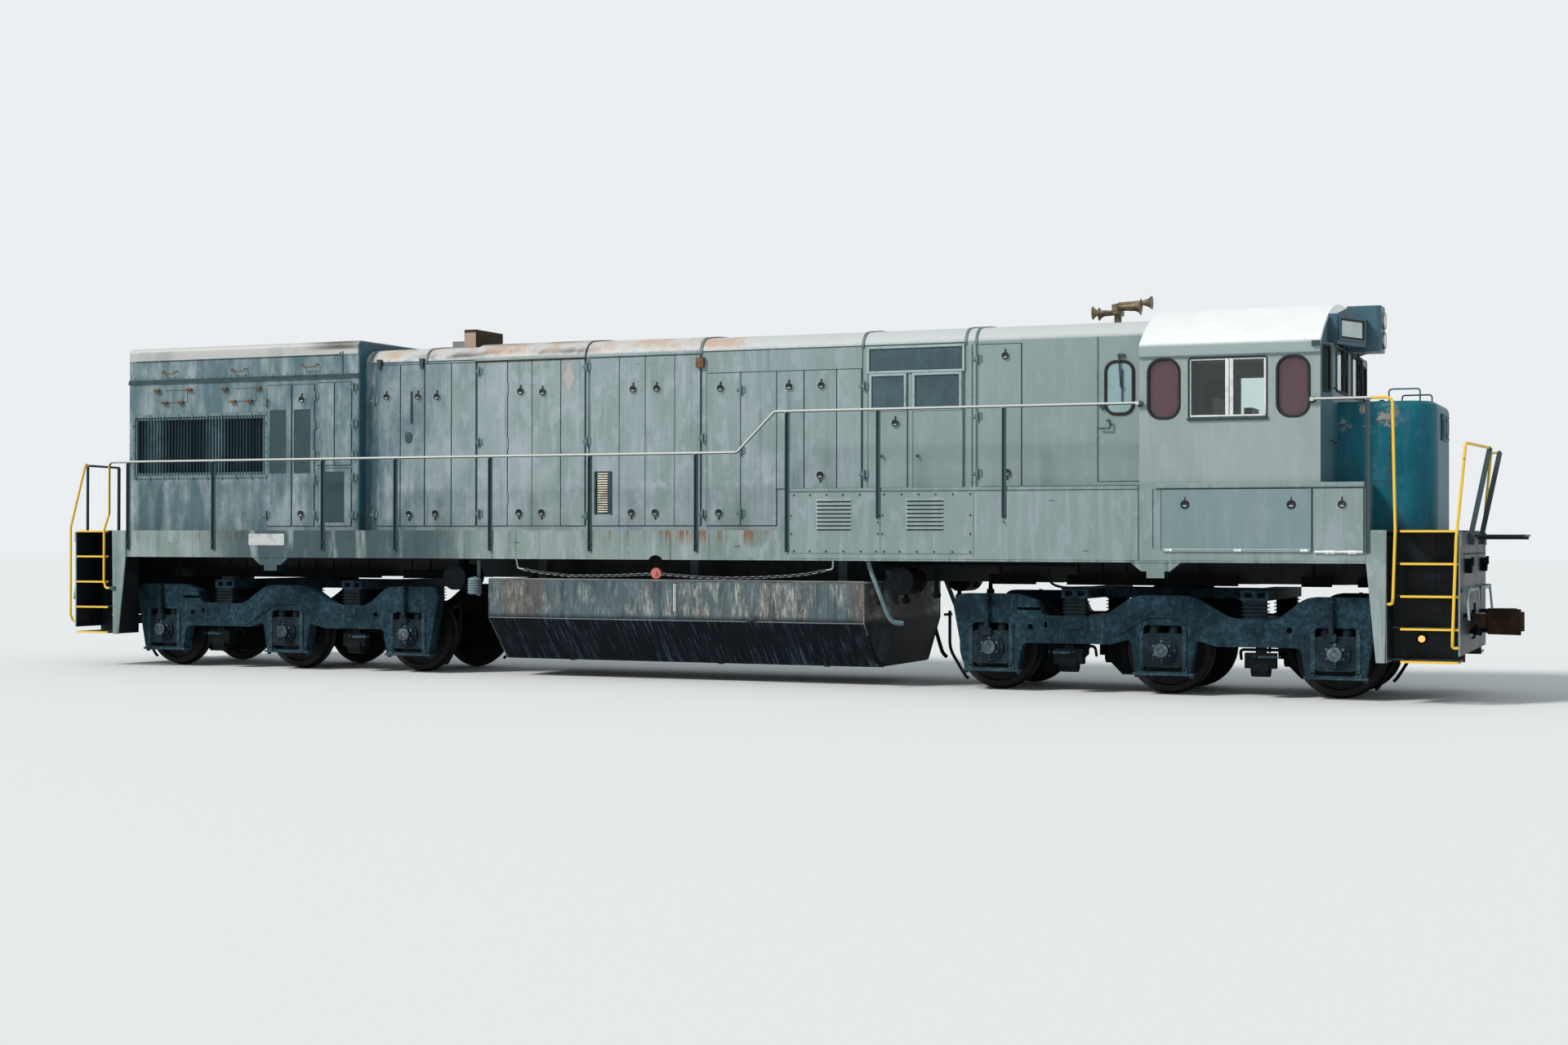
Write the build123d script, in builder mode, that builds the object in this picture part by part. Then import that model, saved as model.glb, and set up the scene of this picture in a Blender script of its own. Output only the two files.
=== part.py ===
from build123d import *
import os
from math import cos, radians, sin

# A six-axle diesel-electric road switcher with a low nose. X points forward to the cab end,
# Y to the left side and Z up. The origin is under the middle, level with the wheel flanges' lowest points.
# All values are in millimetres.

# Running gear
FLANGE = 28
WHEEL_R = 508
AXLE_Z = FLANGE + WHEEL_R
TRUCK_X = 6260
AXLES = (-2130, 0, 2010)
AXLE_R = 92
JOURNAL_R = 80
JOURNAL_END = 1150
WHEEL_BACK = 681
WHEEL_FRONT = 821

# Cast truck frame
FRAME_OUT = 1130
FRAME_IN = 950
FRAME_MIDDLE = (FRAME_OUT + FRAME_IN) / 2
FRAME_TOP = 1188
SPRING_SEAT = 920
BAR_BOTTOM = 594
PEDESTAL_TOP = 835
PEDESTAL_HALF = 245
TIE_BOTTOM = 233
TIE_TOP = 283
BOX_TOP = 736
NEST_X = 1080
TRANSOM_HALF = 170
BOLSTER_BOTTOM = 1140
BOLSTER_TOP = 1260
CENTRE_PLATE_R = 330

# Platform
HALF_LENGTH = 10249
DRAFT_PIN_X = 9200
END_X = 9684
DECK_TOP = 1963
DECK_PLATE = 25
DECK_UNDER = DECK_TOP - DECK_PLATE
SILL_BOTTOM = 1584
SILL_HALF = 1520
SILL_PLATE = 20
SILL_REAR = -8760
SILL_FRONT = 8670
END_HALF = 960
CENTRE_SILL_HALF = 330
CENTRE_SILL_BOTTOM = TANK_TOP = 1318
COUPLER_Z = FLANGE + 876
JACK_X = 6260
JACK_BOTTOM = 1400
WELL_BOTTOM = 468
GANGWAY_Z = 1905
BUFFER_SHEET = 14
GANGWAY_X = END_X + BUFFER_SHEET + 28

# Raised walkway and cab base
DUCT_REAR = 1617
DUCT_TOP = 2485
SKIRT_BOTTOM = 1611
SKIRT_TOP = 2449
CAB_REAR = 6065
CAB_FRONT = 8160
BAY_FRONT = 8260
BASE_FRONT = 8660
BASE_TOP = 2510

# Fuel tank
TANK_REAR = -2770
TANK_FRONT = 2590
TANK_HALF = 1450
TANK_EDGE = 790
TANK_BOTTOM = 235
TANK_FLOOR_HALF = 950

# Hoods
HOOD_REAR = -5015
HOOD_HALF = 1020
HOOD_WALL = 40
HOOD_EAVE = 4300
HOOD_SHOULDER = (800, 4480)
HOOD_SHOULDER_INSIDE = (790, 4440)
HOOD_CROWN = 4540
LEAF = 12
RAD_REAR = -9008
RAD_HALF = 1180
RAD_WALL = 50
RAD_TOP = 4610
GRILLE_X = (-8884, -6590)
GRILLE_Z = (2757, 3600)

# Cab
CAB_HALF = 1500
CAB_WALL = 60
CAB_EAVE = 3988
CAB_HEADER = 4110
FASCIA_TOP = 4128
CAB_RIDGE = 4668
ROOF_SHEET = 40
NOSE_FRONT = 9350
NOSE_HALF = 900
NOSE_TOP = 3458
NOSE_CORNER = 350

# Handrails
RAIL_Y = 1546
RAIL_R = 17
RAIL_LOW = 2948
RAIL_HIGH = 3455

UPRIGHT = (Align.CENTER, Align.CENTER, Align.MIN)

os.makedirs("parts", exist_ok=True)


def keep(builder, label):
    """Name a finished piece and write it."""
    builder.part.label = label
    export_step(builder.part, f"parts/{label}.step")


def span(low, high):
    """Centre and length of a stretch."""
    return (low + high) / 2, high - low


def outward(side, near, far):
    """Limits across the frame of something between two distances from the middle, on one side."""
    return sorted((side * near, side * far))


def block(x, y, z, mode=Mode.ADD):
    """A rectangular block between two limits on each axis."""
    (cx, dx), (cy, dy), (cz, dz) = span(*x), span(*y), span(*z)
    with Locations((cx, cy, cz)):
        Box(dx, dy, dz, mode=mode)


def section_plane(x):
    """A plane across the frame, seen from the front: its sketch has Y and Z."""
    return Plane((x, 0, 0), x_dir=(0, 1, 0), z_dir=(1, 0, 0))


def side_plane(y, x=0):
    """A plane along the frame: its sketch has X and Z, and its normal is to the right."""
    return Plane((x, y, 0), x_dir=(1, 0, 0), z_dir=(0, -1, 0))


def plate(plane, corners, thickness, mode=Mode.ADD):
    """A flat plate whose outline's corners are (across, up, corner radius), pushed out from a plane."""
    with BuildSketch(plane) as outline:
        with BuildLine():
            FilletPolyline(*[(u, v) for u, v, _ in corners], radius=[r for _, _, r in corners], close=True)
        make_face()
    extrude(outline.sketch, amount=thickness, mode=mode)


def pipe(*route, bend=90, radius=RAIL_R):
    """A bent pipe along a route, with one bend radius or one for each corner."""
    with BuildLine() as line:
        FilletPolyline(*route, radius=bend)
    with BuildSketch(Plane(line.line @ 0, z_dir=line.line % 0)) as section:
        Circle(radius)
    sweep(section.sketch, path=line.line)


# Wheelsets: a forged axle with its two rolled steel wheels pressed on, one turned body each
def wheelset(x, label):
    right = [
        (AXLE_R, 0), (AXLE_R, 650), (185, 650), (195, 722), (425, 727), (436, WHEEL_BACK),
        (WHEEL_R + FLANGE, WHEEL_BACK + 8), (WHEEL_R + FLANGE, WHEEL_BACK + 22),
        (WHEEL_R, WHEEL_BACK + 38), (WHEEL_R - 5, WHEEL_FRONT), (436, WHEEL_FRONT),
        (425, 765), (195, 770), (185, 848), (JOURNAL_R + 14, 848), (JOURNAL_R, 880),
        (JOURNAL_R, JOURNAL_END), (0, JOURNAL_END),
    ]
    left = [(r, -y) for r, y in reversed(right[1:])]
    with BuildPart() as body:
        with BuildSketch(Plane((x, 0, AXLE_Z))):
            with BuildLine():
                Polyline(*(left + right), close=True)
            make_face()
        revolve(axis=Axis((x, 0, AXLE_Z), (0, 1, 0)))
    keep(body, label)


# Truck frame: one steel casting, two swan-necked side frames with three pedestals each, joined by transoms
SIDE_FRAME = (
    # along the truck, height, corner radius; the top from the rear end forward, then the bottom back
    (-2640, FRAME_TOP, 140), (-1790, FRAME_TOP, 250), (-1545, 1110, 70), (-1457, SPRING_SEAT, 60),
    (-735, SPRING_SEAT, 420), (-345, FRAME_TOP, 420), (345, FRAME_TOP, 420), (775, SPRING_SEAT, 420),
    (1345, SPRING_SEAT, 300), (1680, FRAME_TOP, 300), (2520, FRAME_TOP, 140),
    (2340, TIE_BOTTOM, 15), (1670, TIE_BOTTOM, 15), (1610, BAR_BOTTOM, 70), (640, BAR_BOTTOM, 150),
    (395, 665, 40), (325, TIE_BOTTOM, 15), (-325, TIE_BOTTOM, 15), (-395, 665, 40),
    (-640, BAR_BOTTOM, 150), (-1730, BAR_BOTTOM, 70), (-1800, TIE_BOTTOM, 15), (-2460, TIE_BOTTOM, 15),
)
CORE_HOLES = (
    # along the truck, height, length, depth
    (-1630, 788, 70, 70), (-1436, 817, 40, 80), (1483, 797, 70, 70), (-1650, 1008, 300, 37),
)
ARCH_RIB = ((-560, 705), (-190, 935), (190, 935), (560, 705))


def truck_frame(centre, label):
    with BuildPart() as body:
        plate(side_plane(-FRAME_IN, centre), SIDE_FRAME, FRAME_OUT - FRAME_IN)
        with BuildSketch(side_plane(-FRAME_IN, centre)):
            for axle in AXLES:
                with Locations((axle, (TIE_TOP + PEDESTAL_TOP) / 2)):
                    RectangleRounded(2 * PEDESTAL_HALF, PEDESTAL_TOP - TIE_TOP, 60)
            for x, z, length, depth in CORE_HOLES:
                with Locations((x, z)):
                    RectangleRounded(length, depth, min(length, depth) * 0.49)
        extrude(amount=FRAME_OUT - FRAME_IN, mode=Mode.SUBTRACT)
        with BuildSketch(side_plane(-FRAME_OUT, centre)):
            with BuildLine():
                FilletPolyline(*ARCH_RIB, radius=220)
            trace(line_width=28)
        extrude(amount=14)
        for x in (-NEST_X, NEST_X):
            block((centre + x - 95, centre + x + 95), (-FRAME_OUT - 10, -FRAME_OUT), (765, SPRING_SEAT - 5))
        mirror(about=Plane.XZ)
        for x in (-NEST_X, NEST_X):
            low, high = centre + x - TRANSOM_HALF, centre + x + TRANSOM_HALF
            block((low, high), (-FRAME_IN, FRAME_IN), (620, SPRING_SEAT - 20))
            block((low + 40, high - 40), (-FRAME_IN + 60, FRAME_IN - 60), (600, SPRING_SEAT - 60),
                  Mode.SUBTRACT)
    keep(body, label)


# Bolster: an H-shaped steel beam over the frame, with the bowl for the centre plate
def bolster(centre, label):
    with BuildPart() as body:
        with BuildSketch(Plane.XY.offset(BOLSTER_BOTTOM)):
            for x in (-NEST_X, NEST_X):
                with Locations((centre + x, 0)):
                    Rectangle(330, 2 * FRAME_OUT - 40)
            with Locations((centre, 0)):
                Rectangle(2 * NEST_X, 700)
        extrude(amount=BOLSTER_TOP - BOLSTER_BOTTOM)
        for x in (-NEST_X - 75, -NEST_X + 75, NEST_X - 75, NEST_X + 75):
            for side in (-1, 1):
                block((centre + x - 45, centre + x + 45), outward(side, FRAME_OUT - 120, FRAME_OUT),
                      (BOLSTER_BOTTOM + 30, BOLSTER_TOP - 30), Mode.SUBTRACT)
        with BuildSketch(Plane((centre, 0, BOLSTER_TOP))):
            Circle(CENTRE_PLATE_R + 40)
            Circle(CENTRE_PLATE_R + 5, mode=Mode.SUBTRACT)
        extrude(amount=20)
    keep(body, label)


# Springs: rubber sandwich stacks with steel plates under the bolster's corners, and coils over the
# axle boxes
STACK_PLATES = 5


def spring_nests(centre, label):
    step = (BOLSTER_BOTTOM - SPRING_SEAT) / STACK_PLATES
    with BuildPart() as body:
        for side in (-1, 1):
            for x in (-NEST_X, NEST_X):
                for number in range(STACK_PLATES):
                    low = SPRING_SEAT + number * step
                    with Locations((centre + x, side * FRAME_MIDDLE, low)):
                        Box(250, 130, step, align=UPRIGHT)
                        Box(300, 165, 12, align=UPRIGHT)
            for axle in AXLES:
                for x in (-120, 120):
                    with Locations((centre + axle + x, side * FRAME_MIDDLE, BOX_TOP)):
                        Cylinder(62, PEDESTAL_TOP - BOX_TOP, align=UPRIGHT)
    keep(body, label)


# Axle boxes: roller bearing housings in the pedestals, closed by a bolted cap, the end ones with a damper
CAP_FACE = 1240
CAP_STEPS = (
    # radius, distance of its face from the middle
    (165, FRAME_OUT + 35), (128, FRAME_OUT + 60), (88, CAP_FACE),
)


def axle_boxes(centre, label):
    with BuildPart() as body:
        for axle in AXLES:
            for side in (-1, 1):
                x = centre + axle
                outer = Plane((x, side * FRAME_IN, AXLE_Z), x_dir=(1, 0, 0), z_dir=(0, side, 0))
                with BuildSketch(outer.offset(-40)):
                    RectangleRounded(2 * PEDESTAL_HALF, 2 * (BOX_TOP - AXLE_Z), 60)
                extrude(amount=FRAME_OUT - FRAME_IN + 50)
                for radius, face in CAP_STEPS:
                    with BuildSketch(outer):
                        Circle(radius)
                    extrude(amount=face - FRAME_IN)
                with Locations(Location((x, side * CAP_FACE, AXLE_Z), (90, 0, 0))):
                    Cylinder(36, 50, mode=Mode.SUBTRACT)
                with Locations(Location((x, side * (FRAME_IN + JOURNAL_END) / 2, AXLE_Z), (90, 0, 0))):
                    Cylinder(JOURNAL_R + 3, JOURNAL_END - FRAME_IN + 92, mode=Mode.SUBTRACT)
                if axle != 0:
                    block((x - 95, x + 15), outward(side, FRAME_OUT - 20, FRAME_OUT + 62),
                          (BOX_TOP - 56, BOX_TOP + 30))
                    block((x - 75, x - 5), outward(side, FRAME_OUT, FRAME_OUT + 70), (1120, 1150))
                    with Locations((x - 40, side * (FRAME_OUT + 40), BOX_TOP + 30)):
                        Cylinder(24, 430, align=UPRIGHT)
                        Cylinder(33, 220, align=UPRIGHT)
    keep(body, label)


# Traction motors: one hung on each axle, its nose on the truck transom
MOTORS = (
    # axle, which way it points, distance from the axle to the transom it leans on
    (AXLES[0], 1, -NEST_X - TRANSOM_HALF - AXLES[0]),
    (AXLES[1], -1, AXLES[1] + NEST_X - TRANSOM_HALF),
    (AXLES[2], -1, AXLES[2] - NEST_X - TRANSOM_HALF),
)


def traction_motors(centre, label):
    with BuildPart() as body:
        for axle, way, reach in MOTORS:
            x = centre + axle
            with BuildSketch(Plane((x, -520, AXLE_Z), x_dir=(way, 0, 0), z_dir=(0, way, 0))):
                with Locations((reach - 400, 20)):
                    RegularPolygon(340, 8, rotation=22.5)
                Circle(170)
                with Locations((150, 0)):
                    Rectangle(300, 300)
                with Locations((reach - 60, -130)):
                    Rectangle(120, 160)
                Circle(AXLE_R + 4, mode=Mode.SUBTRACT)
            extrude(amount=way * 1040)
    keep(body, label)


# Brake gear: a cylinder under each spring seat, and a hanger with its cast shoe behind each wheel
SHOE = (726, 806)


def brake_gear(centre, label):
    with BuildPart() as body:
        for side in (-1, 1):
            for x in (centre - NEST_X - 70, centre + NEST_X + 70):
                block((x - 180, x + 180), outward(side, FRAME_OUT - 110, FRAME_OUT + 20), (350, 529))
                block((x - 60, x + 60), outward(side, FRAME_OUT - 90, FRAME_OUT - 30), (529, BAR_BOTTOM))
                block((x - 110, x + 110), outward(side, FRAME_OUT + 19, FRAME_OUT + 21), (420, 450),
                      Mode.SUBTRACT)
                with Locations(Location((x, side * (FRAME_OUT - 50), 345), (0, 90, 0))):
                    Cylinder(95, 210)
            for axle, way, _ in MOTORS:
                x = centre + axle
                with BuildSketch(side_plane(side * (SHOE[0] if side < 0 else SHOE[1]), x)):
                    with Locations((0, AXLE_Z)):
                        Circle(WHEEL_R + 70)
                        Circle(WHEEL_R + 10, mode=Mode.SUBTRACT)
                    with Locations((way * (WHEEL_R + 40), AXLE_Z)):
                        Rectangle(140, 330, mode=Mode.INTERSECT)
                extrude(amount=SHOE[1] - SHOE[0])
                hanger = sorted((x + way * (WHEEL_R + 66), x + way * (WHEEL_R + 96)))
                block(hanger, outward(side, 745, 787), (AXLE_Z - 40, SPRING_SEAT))
                block(hanger, outward(side, 745, FRAME_IN), (SPRING_SEAT - 50, SPRING_SEAT))
    keep(body, label)


trucks = {"rear": -TRUCK_X, "front": TRUCK_X}
for end, centre in trucks.items():
    truck_frame(centre, f"truck_frame_{end}")
    bolster(centre, f"bolster_{end}")
    spring_nests(centre, f"spring_nests_{end}")
    axle_boxes(centre, f"axle_boxes_{end}")
    traction_motors(centre, f"traction_motors_{end}")
    brake_gear(centre, f"brake_gear_{end}")
    for number, axle in enumerate(AXLES, 1):
        wheelset(centre + axle, f"wheelset_{end}_{number}")


# Underframe: fabricated steel, a fish-bellied centre sill with draft pockets, side sills and the deck plate
JACK_PAD = ((-300, SILL_BOTTOM), (300, SILL_BOTTOM), (170, JACK_BOTTOM + 80), (105, JACK_BOTTOM + 80),
            (105, JACK_BOTTOM), (-105, JACK_BOTTOM), (-105, JACK_BOTTOM + 80), (-170, JACK_BOTTOM + 80))
CROSS_MEMBERS = (-TRUCK_X - 500, -TRUCK_X + 500, -3450, -1200, 1200, 3450, TRUCK_X - 500, TRUCK_X + 500)
FILL_NOTCH = (-260, 1530, 112)
with BuildPart() as underframe:
    block((SILL_REAR, SILL_FRONT), (-SILL_HALF, SILL_HALF), (DECK_UNDER, DECK_TOP))
    block((-END_X, END_X), (-END_HALF, END_HALF), (DECK_UNDER, DECK_TOP))
    for side in (-1, 1):
        for inside, top in ((SILL_HALF - SILL_PLATE, DECK_UNDER), (SILL_HALF - 120, SILL_BOTTOM + 20)):
            block((SILL_REAR, SILL_FRONT), outward(side, inside, SILL_HALF), (SILL_BOTTOM, top))
        for x in (-JACK_X, JACK_X):
            with BuildSketch(side_plane(side * (SILL_HALF - 110), x)):
                with BuildLine():
                    Polyline(*JACK_PAD, close=True)
                make_face()
            extrude(amount=100, both=True)
    for x in CROSS_MEMBERS:
        block((x - 15, x + 15), (-SILL_HALF + SILL_PLATE, SILL_HALF - SILL_PLATE),
              (SILL_BOTTOM + 20, DECK_UNDER))
    with Locations(Location((FILL_NOTCH[0], 0, FILL_NOTCH[1]), (90, 0, 0))):
        Cylinder(FILL_NOTCH[2], 2 * SILL_HALF + 2, mode=Mode.SUBTRACT)
    with BuildSketch(side_plane(CENTRE_SILL_HALF)):
        with BuildLine():
            Polyline((-END_X + 20, DECK_UNDER), (-END_X + 20, COUPLER_Z - 190), (-9000, COUPLER_Z - 190),
                     (-8750, CENTRE_SILL_BOTTOM), (8750, CENTRE_SILL_BOTTOM), (9000, COUPLER_Z - 190),
                     (END_X - 20, COUPLER_Z - 190), (END_X - 20, DECK_UNDER), close=True)
        make_face()
    extrude(amount=2 * CENTRE_SILL_HALF)
    for end in (-1, 1):
        block(outward(end, 9050, END_X + 1), (-230, 230), (COUPLER_Z - 130, COUPLER_Z + 130), Mode.SUBTRACT)
        with Locations((end * TRUCK_X, 0, BOLSTER_TOP + 1)):
            Cylinder(CENTRE_PLATE_R, CENTRE_SILL_BOTTOM - BOLSTER_TOP + 9, align=UPRIGHT)
        with Locations((end * DRAFT_PIN_X, 0, COUPLER_Z)):
            Cylinder(38, 262)
keep(underframe, "underframe")


# Pilots: the end sheet across each end with its buffer beam, and the tapered sheets of its two step wells
WELLS = {
    # end: edge of the side sill, well wall, rear edge of the treads, narrow edge of the tapered sheet
    1: (SILL_FRONT, 8893, 9040, 8776),
    -1: (SILL_REAR, -9000, -9090, -8890),
}
TREAD_PITCH = 366
TREADS = [DECK_TOP - TREAD_PITCH * number for number in range(5)]
TREAD = 25
HINGE_LUG = (432, 462)


def pilot(end, label):
    sill, wall, _, toe = WELLS[end]
    face = end * END_X
    with BuildPart() as body:
        block(sorted((face, face - end * 20)), (-SILL_HALF, SILL_HALF), (560, DECK_UNDER))
        with Locations((face, 0, COUPLER_Z)):
            Box(100, 540, 420, mode=Mode.SUBTRACT)
        block(sorted((face, face + end * BUFFER_SHEET)), (-SILL_HALF, SILL_HALF), (1790, DECK_UNDER))
        for side in (-1, 1):
            with BuildSketch(side_plane(side * SILL_HALF)):
                with BuildLine():
                    Polyline((sill, DECK_TOP), (wall, DECK_TOP), (wall - end * 20, WELL_BOTTOM),
                             (toe, WELL_BOTTOM), (sill, SILL_BOTTOM), close=True)
                make_face()
            extrude(amount=-side * 20)
            block(sorted((wall, wall - end * 15)), outward(side, END_HALF + 10, SILL_HALF),
                  (WELL_BOTTOM, DECK_UNDER - 40))
            block(sorted((wall, face)), outward(side, END_HALF - 2, END_HALF + 10),
                  (WELL_BOTTOM, DECK_UNDER - 1))
            block(sorted((face, face + end * 70)), outward(side, *HINGE_LUG),
                  (GANGWAY_Z - 28, GANGWAY_Z + 28))
        with Locations(Location((end * GANGWAY_X, 0, GANGWAY_Z), (90, 0, 0))):
            Cylinder(12, 2 * HINGE_LUG[1])
    keep(body, label)


pilot(1, "pilot_front")
pilot(-1, "pilot_rear")

# Drop steps: the hinged gangway plate at each end, down over the coupler
for end, name in ((1, "front"), (-1, "rear")):
    with BuildPart() as drop_step:
        block(outward(end, GANGWAY_X, HALF_LENGTH + 40), (-HINGE_LUG[0] + 6, HINGE_LUG[0] - 6),
              (GANGWAY_Z - 12, GANGWAY_Z + 12))
        for y in (-300, 0, 300):
            block(outward(end, GANGWAY_X + 30, HALF_LENGTH + 30), (y - 6, y + 6),
                  (GANGWAY_Z - 45, GANGWAY_Z - 12))
        with Locations(Location((end * GANGWAY_X, 0, GANGWAY_Z), (90, 0, 0))):
            Cylinder(22, 2 * HINGE_LUG[0] - 12)
            Cylinder(13, 2 * HINGE_LUG[0], mode=Mode.SUBTRACT)
    keep(drop_step, f"drop_step_{name}")

# Steps: five grating treads in each of the four wells
with BuildPart() as steps:
    for end in (-1, 1):
        for side in (-1, 1):
            for height in TREADS:
                low, high = sorted((WELLS[end][2], end * (END_X - 20)))
                block((low, high), outward(side, END_HALF + 10, SILL_HALF), (height - TREAD, height))
                if height != DECK_TOP:
                    for y in (END_HALF + 150, END_HALF + 290, END_HALF + 430):
                        block((low + 60, high - 60), outward(side, y - 35, y + 35),
                              (height - TREAD, height), Mode.SUBTRACT)
                block(outward(end, abs(WELLS[end][1]), abs(WELLS[end][2])),
                      outward(side, END_HALF + 10, END_HALF + 60), (height - TREAD, height))
keep(steps, "steps")


# Couplers: a shank that swings in the draft pocket, and a knuckle hinged on a pin in the head's lugs
def coupler(end, label):
    with BuildPart() as body:
        with BuildSketch(Plane((0, 0, COUPLER_Z - 85))):
            with Locations((end * 9500, 0)):
                Rectangle(700, 150)
            with Locations((end * DRAFT_PIN_X, 0)):
                Circle(42, mode=Mode.SUBTRACT)
        extrude(amount=170)
        with BuildSketch(Plane((end * HALF_LENGTH, 0, COUPLER_Z - 150), x_dir=(end, 0, 0))):
            with BuildLine():
                Polyline((-400, -100), (-400, 100), (-300, 150), (-240, 190), (-222, 190), (-228, 60),
                         (-170, -60), (-110, -120), (-20, -200), (-20, -240), (-120, -210),
                         (-250, -150), close=True)
            make_face()
        extrude(amount=300)
        for z in (COUPLER_Z - 150, COUPLER_Z + 118):
            with BuildSketch(Plane((end * HALF_LENGTH, 0, z), x_dir=(end, 0, 0))):
                with Locations((-150, 120)):
                    Circle(60)
                with Locations((-205, 110)):
                    Rectangle(110, 130)
            extrude(amount=32)
        with Locations((end * (HALF_LENGTH - 150), end * 120, COUPLER_Z)):
            Cylinder(21, 300)
    keep(body, label)


def knuckle(end, label):
    with BuildPart() as body:
        with BuildSketch(Plane((end * HALF_LENGTH, 0, COUPLER_Z - 112), x_dir=(end, 0, 0))):
            with BuildLine():
                Polyline((-195, 75), (-205, 120), (-190, 165), (-150, 182), (-100, 168), (-20, 100), (0, 40),
                         (0, -20), (-20, -50), (-70, -50), (-90, 0), (-110, 55), (-150, 62), close=True)
            make_face()
            with Locations((-150, 120)):
                Circle(24, mode=Mode.SUBTRACT)
        extrude(amount=224)
    keep(body, label)


coupler(1, "coupler_front")
coupler(-1, "coupler_rear")
knuckle(1, "knuckle_front")
knuckle(-1, "knuckle_rear")

# Fuel tank: welded plate, flat sides that slope inward to a narrower floor, hung from the centre sill
GAUGE = ((-54, 40), (897, 1290))
FILLER = (1062, 840)
TANK_HANGERS = (TANK_REAR + 500, 0, TANK_FRONT - 500)
with BuildPart() as fuel_tank:
    plate(section_plane(TANK_REAR), (
        (-TANK_HALF, TANK_TOP, 30), (TANK_HALF, TANK_TOP, 30), (TANK_HALF, TANK_EDGE, 40),
        (TANK_FLOOR_HALF, TANK_BOTTOM, 80), (-TANK_FLOOR_HALF, TANK_BOTTOM, 80), (-TANK_HALF, TANK_EDGE, 40),
    ), TANK_FRONT - TANK_REAR)
    for side in (-1, 1):
        block(GAUGE[0], outward(side, TANK_HALF - 15, TANK_HALF + 1), GAUGE[1], Mode.SUBTRACT)
        with Locations(Location((FILLER[0], side * TANK_HALF, FILLER[1]), (90, 0, 0))):
            Cylinder(62, 50)
            Cylinder(40, 80)
        for x in TANK_HANGERS:
            block((x - 60, x + 60), outward(side, 700, 900), (TANK_TOP, DECK_UNDER))
keep(fuel_tank, "fuel_tank")

# Air reservoirs: a welded drum on each side of the underframe at both ends of the tank
DRUM = (170, 500, 1330)
with BuildPart() as air_reservoirs:
    for side in (-1, 1):
        for x in (-3345, 3050):
            with Locations(Location((x, side * 1150, DRUM[2]), (90, 0, 0))):
                Cylinder(DRUM[0], DRUM[1])
            block((x - 40, x + 40), outward(side, 1090, 1210), (1480, DECK_UNDER))
keep(air_reservoirs, "air_reservoirs")

# Raised walkways: sheet steel air ducts beside the hood, with pressed louvres in their faces
LOUVRES = ((1993, 2437), (3182, 3642))
LOUVRE_Z = (1967, 2365)
LOUVRE_COUNT = 8
LOUVRE_OUT = 20
SKIRT = 8
with BuildPart() as raised_walkways:
    pitch = (LOUVRE_Z[1] - LOUVRE_Z[0]) / LOUVRE_COUNT
    for side in (-1, 1):
        block((DUCT_REAR, CAB_REAR), outward(side, HOOD_HALF, SILL_HALF), (DECK_TOP, DUCT_TOP))
        block((DUCT_REAR, CAB_REAR), outward(side, SILL_HALF, SILL_HALF + SKIRT), (SKIRT_BOTTOM, SKIRT_TOP))
        face = side * (SILL_HALF + SKIRT)
        for rear, front in LOUVRES:
            for number in range(LOUVRE_COUNT):
                foot = LOUVRE_Z[0] + number * pitch
                with BuildSketch(section_plane(rear)):
                    with BuildLine():
                        Polyline((face, foot + pitch * 0.85), (face + side * LOUVRE_OUT, foot + pitch * 0.3),
                                 (face + side * LOUVRE_OUT, foot + pitch * 0.2),
                                 (face, foot + pitch * 0.2), close=True)
                    make_face()
                extrude(amount=front - rear)
keep(raised_walkways, "raised_walkways")

# Cab base: the battery compartments under the cab floor, open behind their drop-down doors
DOOR_X = (6340, 8060)
DOOR_Z = (1730, 2434)
BAY_X = (DOOR_X[0] + 40, DOOR_X[1] - 40)
BAY_Z = (DECK_TOP + 30, 2400)
BASE_SHEET = 5
with BuildPart() as cab_base:
    block((CAB_REAR, BASE_FRONT), (-SILL_HALF, SILL_HALF), (DECK_TOP, BASE_TOP))
    for side in (-1, 1):
        block((CAB_REAR, BASE_FRONT), outward(side, SILL_HALF, SILL_HALF + BASE_SHEET),
              (SKIRT_BOTTOM, BASE_TOP))
        block(BAY_X, outward(side, 900, SILL_HALF + BASE_SHEET + 1), BAY_Z, Mode.SUBTRACT)
        block((8084, 8640), outward(side, SILL_HALF + BASE_SHEET, SILL_HALF + BASE_SHEET + 20), DOOR_Z)
keep(cab_base, "cab_base")

for side, hand in ((-1, "right"), (1, "left")):
    with BuildPart() as battery_door:
        block(DOOR_X, outward(side, SILL_HALF + 10, SILL_HALF + 30), DOOR_Z)
        with Locations(Location((span(*DOOR_X)[0], side * (SILL_HALF + 30), DOOR_Z[0]), (0, 90, 0))):
            Cylinder(11, DOOR_X[1] - DOOR_X[0])
    keep(battery_door, f"battery_door_{hand}")

# Diesel engine and generator: the heavy mass inside the hood, as one plain block
with BuildPart() as diesel_engine:
    block((-4300, 600), (-600, 600), (DECK_TOP, 3900))
    block((600, 1800), (-650, 650), (DECK_TOP, 3300))
keep(diesel_engine, "diesel_engine")


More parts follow.
